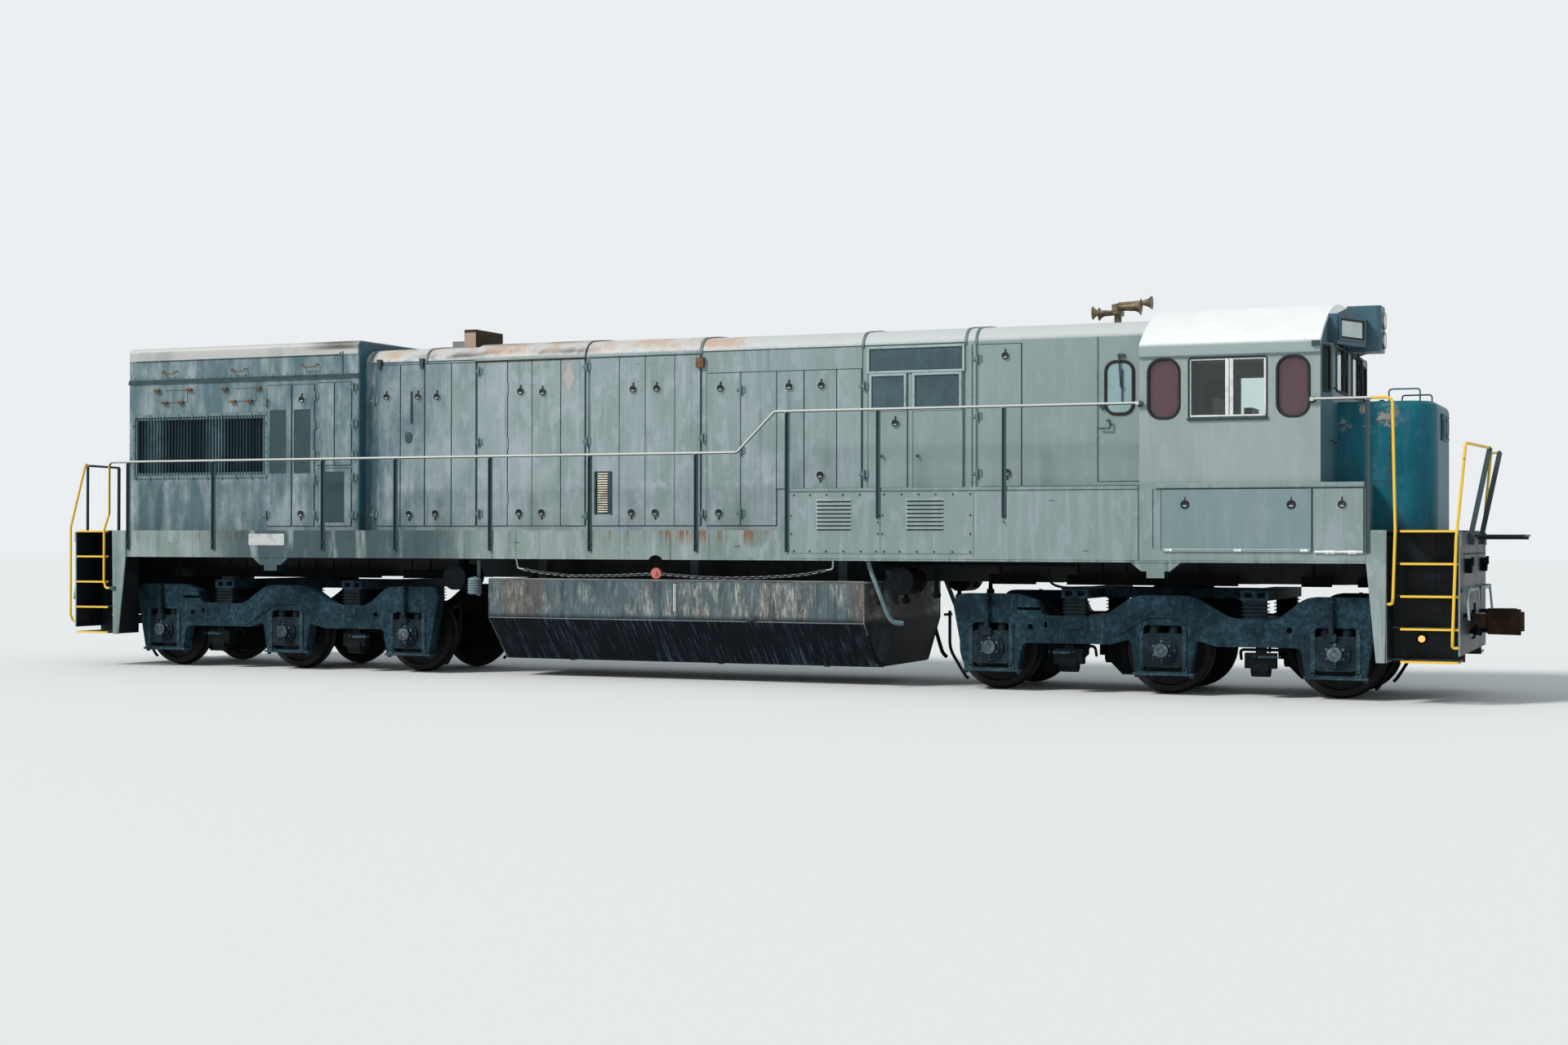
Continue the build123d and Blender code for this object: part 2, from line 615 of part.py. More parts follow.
def hood_section(half, eave, shoulder, crown):
    """Outline of a hood across the frame, from the deck up."""
    shoulder_y, shoulder_z = shoulder
    bend_y, bend_z = (half + shoulder_y) / 2 + 20, eave + (shoulder_z - eave) * 0.72
    with BuildSketch() as section:
        with BuildLine():
            Polyline((-half, eave), (-half, DECK_TOP), (half, DECK_TOP), (half, eave))
            ThreePointArc((half, eave), (bend_y, bend_z), (shoulder_y, shoulder_z))
            ThreePointArc((shoulder_y, shoulder_z), (0, crown), (-shoulder_y, shoulder_z))
            ThreePointArc((-shoulder_y, shoulder_z), (-bend_y, bend_z), (-half, eave))
        make_face()
    return section.sketch


# Engine hood: sheet steel on a light frame, its roof crowned, open where the engine doors hang
ENGINE_DOORS = ((-2730, -2364), (-2354, -1926))
ENGINE_DOOR_Z = (2030, 4250)
DOOR_GAP = 6
HINGE_R = 9
HINGE_HEIGHTS = (2400, 3140, 3880)
with BuildPart() as engine_hood:
    with BuildSketch(section_plane(HOOD_REAR)):
        add(hood_section(HOOD_HALF, HOOD_EAVE, HOOD_SHOULDER, HOOD_CROWN))
    extrude(amount=CAB_REAR - HOOD_REAR)
    with BuildSketch(section_plane(HOOD_REAR + HOOD_WALL)):
        add(hood_section(HOOD_HALF - HOOD_WALL, HOOD_EAVE, HOOD_SHOULDER_INSIDE, HOOD_CROWN - HOOD_WALL))
    extrude(amount=CAB_REAR - HOOD_REAR - 2 * HOOD_WALL, mode=Mode.SUBTRACT)
    block((ENGINE_DOORS[0][0] - DOOR_GAP, ENGINE_DOORS[1][1] + DOOR_GAP), (-HOOD_HALF - 1, HOOD_HALF + 1),
          (ENGINE_DOOR_Z[0] - DOOR_GAP, ENGINE_DOOR_Z[1] + DOOR_GAP), Mode.SUBTRACT)
keep(engine_hood, "engine_hood")

for side, hand in ((-1, "right"), (1, "left")):
    for name, (low, high) in zip(("rear", "front"), ENGINE_DOORS):
        with BuildPart() as engine_door:
            block((low, high), outward(side, HOOD_HALF - 20, HOOD_HALF + LEAF), ENGINE_DOOR_Z)
            block((low + 40, high - 40), outward(side, HOOD_HALF - 21, HOOD_HALF),
                  (ENGINE_DOOR_Z[0] + 40, ENGINE_DOOR_Z[1] - 40), Mode.SUBTRACT)
            hinge_x = low if name == "rear" else high
            for z in HINGE_HEIGHTS:
                with Locations((hinge_x, side * (HOOD_HALF + LEAF), z)):
                    Cylinder(HINGE_R, 160)
        keep(engine_door, f"engine_door_{hand}_{name}")

# Fixed hood doors: pressed steel leaves with round latches, shut, proud of the hood's face
HOOD_LEAVES = (
    # rear edge, front edge, bottom, top
    (-4830, -4450, 2030, 4250), (-4435, -4060, 2030, 4250), (-4040, -3630, 2030, 4250),
    (-3615, -3240, 2030, 4250), (-3205, -2745, 2030, 4250), (-1912, -1560, 2030, 4250),
    (-1470, -1045, 2030, 4250), (-1035, -660, 2030, 4250), (-650, -230, 2030, 4250),
    (-220, 140, 2030, 4250), (240, 715, 2030, 4000), (727, 1220, 2030, 4000),
    (1232, 1600, 2500, 4000), (1614, 2050, 2500, 4000), (2062, 2385, 2500, 4000),
    (2485, 3000, 2500, 3950), (3085, 3730, 2500, 3950), (3935, 4480, 2500, 4250),
)
RADIATOR_LEAVES = (
    (-6553, -6150, 2029, 4010), (-6122, -5764, 2029, 4010), (-5709, -5430, 2879, 4025),
    (-5409, -5145, 2879, 4025), (-5677, -5145, 2028, 2829),
)
HOOD_SCREENS = ((2531, 2962, 3490, 3900), (3105, 3688, 3490, 3900), (2498, 3729, 3965, 4245))
RADIATOR_SCREENS = ((-6510, -6231, 2766, 3665), (-6100, -5818, 2766, 3665), (-5595, -5253, 2073, 2785))
HOOD_LATCHES = (
    (-4661, 3814), (-4150, 3808), (-3848, 3801), (-4290, 2186), (-3869, 2196), (-831, 3825),
    (-483, 3827), (-852, 2197), (-503, 2195), (438, 3806), (1404, 3803), (1848, 3805),
    (417, 2192), (1834, 2665), (2849, 3305), (4284, 4105), (4309, 2670),
)
RADIATOR_LATCHES = ((-5960, 3800), (-5971, 2195))
LATCH = 46
with BuildPart() as hood_doors:
    for side in (-1, 1):
        for half, leaves, screens, latches in (
            (HOOD_HALF, HOOD_LEAVES, HOOD_SCREENS, HOOD_LATCHES),
            (RAD_HALF, RADIATOR_LEAVES, RADIATOR_SCREENS, RADIATOR_LATCHES),
        ):
            for low, high, bottom, top in leaves:
                block((low, high), outward(side, half, half + LEAF), (bottom, top))
            for low, high, bottom, top in screens:
                block((low, high), outward(side, half, half + LEAF + 1), (bottom, top), Mode.SUBTRACT)
            for x, z in latches:
                with Locations(Location((x, side * (half + LEAF + 5), z), (90, 0, 0))):
                    Cylinder(LATCH, 14)
keep(hood_doors, "hood_doors")

# Radiator cab: the wide rear end of the hood, with air intakes in both sides and cores in the roof
CORE_X = (-8700, -5300)
CORE_HALF = 900
with BuildPart() as radiator_cab:
    block((RAD_REAR, HOOD_REAR), (-RAD_HALF, RAD_HALF), (DECK_TOP, RAD_TOP))
    fillet(radiator_cab.faces().sort_by(Axis.Z)[-1].edges().filter_by(Axis.X), 75)
    fillet(radiator_cab.edges().filter_by(Axis.Z), 30)
    block((RAD_REAR + RAD_WALL, HOOD_REAR - RAD_WALL), (-RAD_HALF + RAD_WALL, RAD_HALF - RAD_WALL),
          (DECK_TOP, RAD_TOP - RAD_WALL), Mode.SUBTRACT)
    block(GRILLE_X, (-RAD_HALF - 1, RAD_HALF + 1), GRILLE_Z, Mode.SUBTRACT)
    block(CORE_X, (-CORE_HALF, CORE_HALF), (RAD_TOP - RAD_WALL - 1, RAD_TOP + 1), Mode.SUBTRACT)
    for side in (-1, 1):
        block((-8888, -5329), outward(side, RAD_HALF, RAD_HALF + 22), (4424, 4452))
keep(radiator_cab, "radiator_cab")

# Air intakes: a frame with upright slats in each radiator opening, and mesh panels behind the screened doors
SLATS = 42
MESH = 8
with BuildPart() as intake_grilles:
    for side in (-1, 1):
        block(GRILLE_X, outward(side, RAD_HALF - RAD_WALL, RAD_HALF), GRILLE_Z)
        block((GRILLE_X[0] + 40, GRILLE_X[1] - 40), outward(side, RAD_HALF - RAD_WALL, RAD_HALF),
              (GRILLE_Z[0] + 40, GRILLE_Z[1] - 40), Mode.SUBTRACT)
        for number in range(1, SLATS):
            x = GRILLE_X[0] + (GRILLE_X[1] - GRILLE_X[0]) * number / SLATS
            block((x - 4, x + 4), outward(side, RAD_HALF - 45, RAD_HALF - 5),
                  (GRILLE_Z[0] + 40, GRILLE_Z[1] - 40))
        for half, screens in ((HOOD_HALF, HOOD_SCREENS), (RAD_HALF, RADIATOR_SCREENS)):
            for low, high, bottom, top in screens:
                block((low, high), outward(side, half, half + MESH), (bottom, top))
keep(intake_grilles, "intake_grilles")

# Radiator cores: two banks under the roof, each covered by bars
BAR_PITCH = 120
with BuildPart() as radiator_cores:
    for low, high in ((CORE_X[0], -7030), (-6970, CORE_X[1])):
        block((low, high), (-CORE_HALF, CORE_HALF), (RAD_TOP - 250, RAD_TOP - 15))
        for number in range(1, int((high - low) / BAR_PITCH) + 1):
            x = low + number * BAR_PITCH
            block((x - 8, x + 8), (-CORE_HALF, CORE_HALF), (RAD_TOP - 15, RAD_TOP + 20))
keep(radiator_cores, "radiator_cores")

FAN = (-7700, 0, 3900)
BLADES = 8
with BuildPart() as radiator_fan:
    with Locations(FAN):
        Cylinder(180, 200)
    for blade in range(BLADES):
        angle = blade * 360 / BLADES
        centre = Vector(FAN[0] + 500 * cos(radians(angle)), FAN[1] + 500 * sin(radians(angle)), FAN[2])
        with Locations(Location(centre, (0, 0, angle)) * Location((0, 0, 0), (25, 0, 0))):
            Box(700, 220, 14)
keep(radiator_fan, "radiator_fan")

with BuildPart() as fan_drive:
    block((FAN[0] - 300, FAN[0] + 300), (-300, 300), (DECK_TOP, 3200))
    with Locations((FAN[0], 0, 3200)):
        Cylinder(60, FAN[2] - 100 - 5 - 3200, align=UPRIGHT)
keep(fan_drive, "fan_drive")

# Exhaust stack: a narrow casing welded across the hood's crown, open at the top, with a low box behind it
STACK_REAR, STACK_FRONT, STACK_HALF, STACK_SHEET = -3821, -3636, 372, 12
STACK_TOP = HOOD_CROWN + 240
STACK_ROOT = HOOD_CROWN - 30
with BuildPart() as exhaust_stack:
    block((STACK_REAR, STACK_FRONT), (-STACK_HALF, STACK_HALF), (STACK_ROOT, STACK_TOP))
    block((STACK_REAR - 190, STACK_REAR), (-STACK_HALF, STACK_HALF), (STACK_ROOT, HOOD_CROWN + 80))
    block((STACK_REAR + STACK_SHEET, STACK_FRONT - STACK_SHEET),
          (STACK_SHEET - STACK_HALF, STACK_HALF - STACK_SHEET), (HOOD_CROWN + 40, STACK_TOP), Mode.SUBTRACT)
    with BuildSketch(section_plane(HOOD_REAR)):
        add(hood_section(HOOD_HALF, HOOD_EAVE, HOOD_SHOULDER, HOOD_CROWN))
    extrude(amount=CAB_REAR - HOOD_REAR, mode=Mode.SUBTRACT)
keep(exhaust_stack, "exhaust_stack")


def cab_section(half, foot, eave, ridge):
    """Outline of the cab across the frame, flat sides under a rounded roof."""
    with BuildSketch() as section:
        with BuildLine():
            Polyline((-half, eave), (-half, foot), (half, foot), (half, eave))
            ThreePointArc((half, eave), (0, ridge), (-half, eave))
        make_face()
    return section.sketch


# Cab walls: welded sheet with an insulated lining, windows and doorways cut through. The right front
# corner is cut off at an angle, with a narrow window in it.
CAB_CORNER = ((CAB_FRONT, -CAB_HALF), (BAY_FRONT, -1250))
CAB_PLAN = ((CAB_REAR, -CAB_HALF), *CAB_CORNER, (BAY_FRONT, CAB_HALF), (CAB_REAR, CAB_HALF))
CORNER_MIDDLE = ((CAB_FRONT + BAY_FRONT) / 2, -(CAB_HALF + 1250) / 2)
CORNER_WAY = (BAY_FRONT - CAB_FRONT, CAB_HALF - 1250)
SIDE_WINDOWS = (
    # rear edge, front edge, sill, head, corner radius
    (6182, 6530, 3281, 3950, 140), (6655, 7551, 3274, 3960, 30), (7682, 8023, 3278, 3945, 140),
)
FRONT_WINDOWS = ((-1000, -200), (200, 1000))
FRONT_WINDOW_Z = (3590, 4085)
CORNER_WINDOW = (120, 500, 3815)
REAR_DOOR = (-1455, -1055)
FRONT_DOOR = (1020, 1425)
DOOR_FOOT = BASE_TOP + 20
REAR_DOOR_TOP = 4040
FRONT_DOOR_TOP = 4080
DOORWAY_GAP = 10
INNER_EAVE = FASCIA_TOP - ROOF_SHEET
INNER_RIDGE = CAB_RIDGE - ROOF_SHEET


def corner_plane(depth):
    """The plane of the cut-off corner, some way inside its face: its sketch runs along the corner and up."""
    along_x, along_y = CORNER_WAY
    length = (along_x ** 2 + along_y ** 2) ** 0.5
    normal = (along_y / length, -along_x / length, 0)
    x, y = CORNER_MIDDLE
    return Plane((x - depth * normal[0], y - depth * normal[1], 0), x_dir=(along_x, along_y, 0),
                 z_dir=normal)


with BuildPart() as cab_walls:
    with BuildSketch(Plane.XY.offset(BASE_TOP)):
        with BuildLine():
            Polyline(*CAB_PLAN, close=True)
        make_face()
        offset(amount=-CAB_WALL, kind=Kind.INTERSECTION, mode=Mode.SUBTRACT)
    extrude(amount=CAB_HEADER - BASE_TOP)
    with BuildSketch(Plane.XY.offset(CAB_HEADER - 25)):
        with BuildLine():
            Polyline(*CAB_PLAN, close=True)
        make_face()
        with Locations((CAB_REAR, 0)):
            Rectangle(2 * (CAB_FRONT - CAB_WALL - CAB_REAR), 2 * CAB_HALF, mode=Mode.SUBTRACT)
    extrude(amount=25)
    with BuildSketch(section_plane(CAB_REAR - 1)):
        add(cab_section(CAB_HALF, BASE_TOP, INNER_EAVE, INNER_RIDGE))
    extrude(amount=BAY_FRONT - CAB_REAR + 2, mode=Mode.INTERSECT)
    for x in (CAB_REAR, CAB_FRONT - CAB_WALL):
        with BuildSketch(section_plane(x)):
            add(cab_section(CAB_HALF, CAB_HEADER - 60, INNER_EAVE, INNER_RIDGE))
        extrude(amount=CAB_WALL)
    for low, high, sill, head, corner in SIDE_WINDOWS:
        with BuildSketch(side_plane(CAB_HALF + 1)):
            with Locations(((low + high) / 2, (sill + head) / 2)):
                RectangleRounded(high - low, head - sill, corner)
        extrude(amount=2 * CAB_HALF + 2, mode=Mode.SUBTRACT)
    for low, high in FRONT_WINDOWS:
        block((BAY_FRONT - CAB_WALL - 1, BAY_FRONT + 1), (low, high), FRONT_WINDOW_Z, Mode.SUBTRACT)
    with BuildSketch(corner_plane(CAB_WALL + 10)):
        with Locations((0, CORNER_WINDOW[2])):
            Rectangle(CORNER_WINDOW[0], CORNER_WINDOW[1])
    extrude(amount=CAB_WALL + 20, mode=Mode.SUBTRACT)
    block((BAY_FRONT - CAB_WALL - 1, BAY_FRONT + 1),
          (FRONT_DOOR[0] - DOORWAY_GAP, FRONT_DOOR[1] + DOORWAY_GAP),
          (BASE_TOP, FRONT_DOOR_TOP + 5), Mode.SUBTRACT)
    block((CAB_REAR - 1, CAB_REAR + CAB_WALL + 1), (REAR_DOOR[0] - DOORWAY_GAP, REAR_DOOR[1] + DOORWAY_GAP),
          (BASE_TOP, REAR_DOOR_TOP + 6), Mode.SUBTRACT)
keep(cab_walls, "cab_walls")

# Cab roof: one rounded sheet with a vertical fascia along each eave
FASCIA_OUT = 25
with BuildPart() as cab_roof:
    with BuildSketch(section_plane(CAB_REAR)):
        add(cab_section(CAB_HALF + FASCIA_OUT, CAB_EAVE, FASCIA_TOP, CAB_RIDGE))
    extrude(amount=CAB_FRONT - CAB_REAR)
    with BuildSketch(section_plane(CAB_REAR - 1)):
        add(cab_section(CAB_HALF, BASE_TOP, INNER_EAVE, INNER_RIDGE))
    extrude(amount=CAB_FRONT - CAB_REAR + 2, mode=Mode.SUBTRACT)
keep(cab_roof, "cab_roof")

GLASS = 8
GLASS_DEPTH = 36
with BuildPart() as cab_glass:
    for side in (-1, 1):
        for low, high, sill, head, corner in SIDE_WINDOWS:
            with BuildSketch(side_plane(side * (CAB_HALF - GLASS_DEPTH / 2) + GLASS / 2)):
                with Locations(((low + high) / 2, (sill + head) / 2)):
                    RectangleRounded(high - low, head - sill, corner)
            extrude(amount=GLASS)
    for low, high in FRONT_WINDOWS:
        block((BAY_FRONT - GLASS_DEPTH, BAY_FRONT - GLASS_DEPTH + GLASS), (low, high), FRONT_WINDOW_Z)
    with BuildSketch(corner_plane(GLASS_DEPTH)):
        with Locations((0, CORNER_WINDOW[2])):
            Rectangle(CORNER_WINDOW[0], CORNER_WINDOW[1])
    extrude(amount=GLASS)
keep(cab_glass, "cab_glass")

DOOR_THICK = 45
CAB_HINGE_HEIGHTS = (2700, 3280, 3860)
with BuildPart() as cab_door_rear:
    block((CAB_REAR, CAB_REAR + DOOR_THICK), REAR_DOOR, (DOOR_FOOT, REAR_DOOR_TOP))
    block((CAB_REAR - 1, CAB_REAR + DOOR_THICK + 1), (REAR_DOOR[0] + 80, REAR_DOOR[1] - 80), (3380, 3960),
          Mode.SUBTRACT)
    for z in CAB_HINGE_HEIGHTS:
        with Locations((CAB_REAR, REAR_DOOR[0], z)):
            Cylinder(HINGE_R, 120)
keep(cab_door_rear, "cab_door_rear")

with BuildPart() as cab_door_front:
    block((BAY_FRONT - DOOR_THICK, BAY_FRONT), FRONT_DOOR, (DOOR_FOOT, FRONT_DOOR_TOP))
    block((BAY_FRONT - DOOR_THICK - 1, BAY_FRONT + 1), (FRONT_DOOR[0] + 80, FRONT_DOOR[1] - 80),
          (3440, 4000),
          Mode.SUBTRACT)
    for z in CAB_HINGE_HEIGHTS:
        with Locations((BAY_FRONT, FRONT_DOOR[1], z)):
            Cylinder(HINGE_R, 120)
keep(cab_door_front, "cab_door_front")

# Cab seats: a padded seat and back on a pedestal at each side window
SEAT_Z = BASE_TOP + 420
with BuildPart() as cab_seats:
    for x, y in ((7100, -950), (7100, 950)):
        with Locations((x, y, BASE_TOP)):
            Cylinder(60, SEAT_Z - BASE_TOP, align=UPRIGHT)
        block((x - 240, x + 240), (y - 240, y + 240), (SEAT_Z, SEAT_Z + 100))
        block((x - 240, x - 140), (y - 230, y + 230), (SEAT_Z + 100, SEAT_Z + 580))
keep(cab_seats, "cab_seats")

with BuildPart() as control_stand:
    plate(side_plane(-250), (
        (7500, BASE_TOP, 10), (7950, BASE_TOP, 10), (7950, BASE_TOP + 1050, 20), (7680, BASE_TOP + 1050, 20),
        (7500, BASE_TOP + 860, 20),
    ), 400)
keep(control_stand, "control_stand")

# Short hood: the low nose, sheet steel with large rounded corners and a grab iron on each side of its top
with BuildPart() as short_hood:
    with BuildSketch(Plane.XY.offset(DECK_TOP)):
        with Locations(((BASE_FRONT + NOSE_FRONT) / 2, 0)):
            Rectangle(NOSE_FRONT - BASE_FRONT, 2 * NOSE_HALF)
    extrude(amount=BASE_TOP - DECK_TOP)
    with BuildSketch(Plane.XY.offset(BASE_TOP)):
        with Locations(((BAY_FRONT + NOSE_FRONT) / 2, 0)):
            Rectangle(NOSE_FRONT - BAY_FRONT, 2 * NOSE_HALF)
    extrude(amount=NOSE_TOP - BASE_TOP)
    fillet(short_hood.edges().filter_by(Axis.Z).group_by(Axis.X)[-1], NOSE_CORNER)
    top = short_hood.faces().sort_by(Axis.Z)[-1]
    fillet(top.edges().filter_by(lambda edge: edge.center().X > BAY_FRONT + 1), 90)
    for y in (-600, 600):
        pipe((8800, y, NOSE_TOP - 20), (8800, y, NOSE_TOP + 150), (9150, y, NOSE_TOP + 150),
             (9150, y, NOSE_TOP - 20), bend=35, radius=9)
keep(short_hood, "short_hood")

# Brow: the casing over the windshields, with a slanted number board on each side of the headlight housing
BROW_Z = (4128, 4460)
BROW_PLAN = ((CAB_FRONT, -930), (BAY_FRONT, -930), (8495, -350), (8495, 350), (BAY_FRONT, 930),
             (CAB_FRONT, 930))
HOUSING_X = (BAY_FRONT, 8655)
HOUSING_Z = (4089, 4634)
HOUSING_HALF = 200
BOARD = (540, 235, 20)
BOARD_Z = 4315
with BuildPart() as brow:
    with BuildSketch(Plane.XY.offset(BROW_Z[0])):
        with BuildLine():
            Polyline(*BROW_PLAN, close=True)
        make_face()
    extrude(amount=CAB_RIDGE - BROW_Z[0])
    with BuildSketch(section_plane(CAB_FRONT)):
        add(cab_section(CAB_HALF + FASCIA_OUT, CAB_EAVE, FASCIA_TOP, CAB_RIDGE))
    extrude(amount=400, mode=Mode.INTERSECT)
    with BuildSketch(side_plane(1000)):
        with BuildLine():
            Polyline((CAB_FRONT, CAB_RIDGE), (8500, BROW_Z[1]), (8500, CAB_RIDGE), close=True)
        make_face()
    extrude(amount=2000, mode=Mode.SUBTRACT)
    for side in (-1, 1):
        run_x, run_y = 8495 - BAY_FRONT, side * (350 - 930)
        board = Plane(((8495 + BAY_FRONT) / 2, side * 640, BOARD_Z), x_dir=(-side * run_x, -side * run_y, 0),
                      z_dir=(-side * run_y, side * run_x, 0))
        with BuildSketch(board):
            Rectangle(BOARD[0] + 40, BOARD[1] + 40)
            Rectangle(BOARD[0], BOARD[1], mode=Mode.SUBTRACT)
        extrude(amount=BOARD[2])
    with BuildSketch(Plane.XY.offset(HOUSING_Z[0])):
        with Locations((span(*HOUSING_X)[0], 0)):
            Rectangle(HOUSING_X[1] - HOUSING_X[0], 2 * HOUSING_HALF)
    extrude(amount=HOUSING_Z[1] - HOUSING_Z[0])
    fillet(brow.faces().sort_by(Axis.X)[-1].edges().filter_by(Axis.Z), 55)
keep(brow, "brow")

# Headlights: two lamps one above the other in a rim, over the windshields and at the rear
LAMP_R = 92
LAMP_PITCH = 235
with BuildPart() as headlights:
    for face, way, z in ((HOUSING_X[1], 1, 4345), (RAD_REAR, -1, 4200)):
        for row in (-0.5, 0.5):
            lamp = Plane((face, 0, z + row * LAMP_PITCH), x_dir=(0, 1, 0), z_dir=(way, 0, 0))
            with BuildSketch(lamp):
                Circle(LAMP_R + 14)
            extrude(amount=26)
            with BuildSketch(lamp.offset(14)):
                Circle(LAMP_R)
            extrude(amount=13, mode=Mode.SUBTRACT)
keep(headlights, "headlights")

# Horn: five flared bells on a manifold, three facing forward and two to the rear
HORN_X = 5430
BELLS = (
    # sideways place, height, length, which way it faces
    (-150, 4750, 330, 1), (0, 4800, 430, 1), (150, 4750, 250, 1), (-80, 4690, 300, -1), (80, 4690, 260, -1),
)
with BuildPart() as horn:
    block((HORN_X - 100, HORN_X + 100), (-80, 80), (HOOD_CROWN, 4560))
    block((HORN_X - 40, HORN_X + 40), (-30, 30), (4560, 4800))
    block((HORN_X - 35, HORN_X + 35), (-175, 175), (4660, 4780))
    for y, z, length, way in BELLS:
        with BuildSketch(Plane((HORN_X, y, z), x_dir=(way, 0, 0), z_dir=(0, -way, 0))):
            with BuildLine():
                Polyline((0, 0), (0, 20), (length * 0.6, 30))
                ThreePointArc((length * 0.6, 30), (length * 0.87, 48), (length, 85))
                Polyline((length, 85), (length, 0), (0, 0))
            make_face()
        revolve(axis=Axis((HORN_X, y, z), (1, 0, 0)))
keep(horn, "horn")

# Handrails: steel pipe on angle-iron stanchions bolted to the side sill, with bent grab rails at the
# step wells and rails across the ends to the gangway posts
STANCHIONS = (-8712, -7215, -5368, -4188, -2704, -1205, 327, 1588, 2808, 4423)
STANCHION_FOOT = 1690
STANCHION_FOOT_DUCT = 2110
FRONT_POST = 8690
REAR_FOOT = 1130
GANGWAY_POST_Y = 652
WELL_FACE = SILL_HALF + 20
GANGWAY_POST_TOP = 2905
post_face = END_X + BUFFER_SHEET
for side, hand in ((-1, "right"), (1, "left")):
    y = side * RAIL_Y
    with BuildPart() as handrail:
        pipe((-8994, y, REAR_FOOT), (-9105, y, REAR_FOOT), (-9140, y, REAR_FOOT + 100), (-9140, y, 1971),
             (-9050, y, 2203), (-9050, y, RAIL_LOW), (900, y, RAIL_LOW), (1417, y, RAIL_HIGH),
             (6055, y, RAIL_HIGH), bend=(40, 40, 70, 70, 70, 100, 100))
        block((-9020, -8935), outward(side, WELL_FACE, RAIL_Y + RAIL_R), (REAR_FOOT - 25, REAR_FOOT + 25))
        block((6035, 6075), outward(side, CAB_HALF, RAIL_Y + RAIL_R), (RAIL_HIGH - 25, RAIL_HIGH + 25))
        for x in STANCHIONS:
            foot = STANCHION_FOOT if x < DUCT_REAR else STANCHION_FOOT_DUCT
            base = SILL_HALF if x < DUCT_REAR else SILL_HALF + SKIRT
            top = RAIL_LOW if x < 1000 else RAIL_HIGH
            block((x - 25, x + 25), outward(side, base, base + 8), (foot, top))
            block((x - 25, x - 17), outward(side, base, 1558), (foot, top))
        pipe((8070, y, RAIL_HIGH), (8960, y, RAIL_HIGH), (8990, y, 1960), (8965, y, 1200),
             (8950, side * 1500, 1130), (WELLS[1][1], side * 1500, 1130), bend=(70, 70, 25, 25))
        block((8050, 8090), outward(side, CAB_HALF, RAIL_Y + RAIL_R), (RAIL_HIGH - 25, RAIL_HIGH + 25))
        block((FRONT_POST - 25, FRONT_POST + 25), outward(side, WELL_FACE, WELL_FACE + 8), (1700, RAIL_HIGH))
        block((FRONT_POST - 25, FRONT_POST - 17), outward(side, WELL_FACE, 1558), (1700, RAIL_HIGH))
        pipe((END_X - 20, side * 1500, 650), (9600, side * 1500, 650), (9605, y, 740), (9645, y, 1865),
             (9748, y, 2930), (9925, side * GANGWAY_POST_Y, GANGWAY_POST_TOP), bend=(25, 25, 60, 45))
        pipe((-END_X, side * 1500, 640), (-9745, side * 1500, 640), (-9748, y, 740), (-9750, y, 2010),
             (-9480, y, 2925), (-9700, side * 1240, 2915), (-9704, side * 560, GANGWAY_POST_TOP),
             bend=(25, 25, 60, 45, 45))
        with BuildSketch(side_plane(side * GANGWAY_POST_Y + 5)):
            with BuildLine():
                FilletPolyline((post_face + 30, 1800), (post_face + 30, 1960), (9925, GANGWAY_POST_TOP),
                               radius=40)
            trace(line_width=60)
        extrude(amount=10)
        for low, high in ((530, 590), (1215, 1265)):
            block((-post_face - 12, -post_face), outward(side, low, high), (1800, GANGWAY_POST_TOP))
    keep(handrail, f"handrail_{hand}")
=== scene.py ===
import math
from functools import partial

import bmesh
import bpy
from mathutils import Matrix, Vector


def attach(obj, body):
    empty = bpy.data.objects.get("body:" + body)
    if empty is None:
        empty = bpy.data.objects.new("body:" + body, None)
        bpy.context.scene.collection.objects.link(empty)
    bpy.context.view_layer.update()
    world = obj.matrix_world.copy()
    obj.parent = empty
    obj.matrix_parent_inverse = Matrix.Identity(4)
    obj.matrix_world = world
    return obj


# The looks of a six-axle diesel road locomotive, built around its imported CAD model. All lengths are in
# metres: X points forward to the cab end, Y to the left side, Z up from the wheel flanges' lowest points.

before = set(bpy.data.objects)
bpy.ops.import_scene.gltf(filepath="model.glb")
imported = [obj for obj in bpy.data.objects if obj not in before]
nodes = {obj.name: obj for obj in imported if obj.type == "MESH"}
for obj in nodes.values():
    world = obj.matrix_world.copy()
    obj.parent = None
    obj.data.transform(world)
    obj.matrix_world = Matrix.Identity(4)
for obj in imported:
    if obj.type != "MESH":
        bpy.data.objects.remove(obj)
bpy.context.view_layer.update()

# Camera: low above the ground about 30 m from the right side, a little ahead of the cab, looking back
# along the hood with a slightly long lens.
EYE = Vector((12.182, -26.567, 1.852))
YAW, PITCH, ROLL = math.radians(23.02), math.radians(0.438), math.radians(0.085)
LENS, FILM_WIDTH = 49.76, 36.0
NEAREST, FARTHEST = 0.5, 400
level_ahead = Vector((-math.sin(YAW), math.cos(YAW), 0))
level_right = Vector((math.cos(YAW), math.sin(YAW), 0))
ahead = level_ahead * math.cos(PITCH) + Vector((0, 0, math.sin(PITCH)))
level_up = level_right.cross(ahead)
right = level_right * math.cos(ROLL) + level_up * math.sin(ROLL)
up = level_up * math.cos(ROLL) - level_right * math.sin(ROLL)
lens = bpy.data.cameras.new("camera")
lens.lens, lens.sensor_width = LENS, FILM_WIDTH
lens.clip_start, lens.clip_end = NEAREST, FARTHEST
camera = bpy.data.objects.new("camera", lens)
camera.matrix_world = Matrix.Translation(EYE) @ Matrix((right, up, -ahead)).transposed().to_4x4()
scene = bpy.context.scene
scene.collection.objects.link(camera)
scene.camera = camera
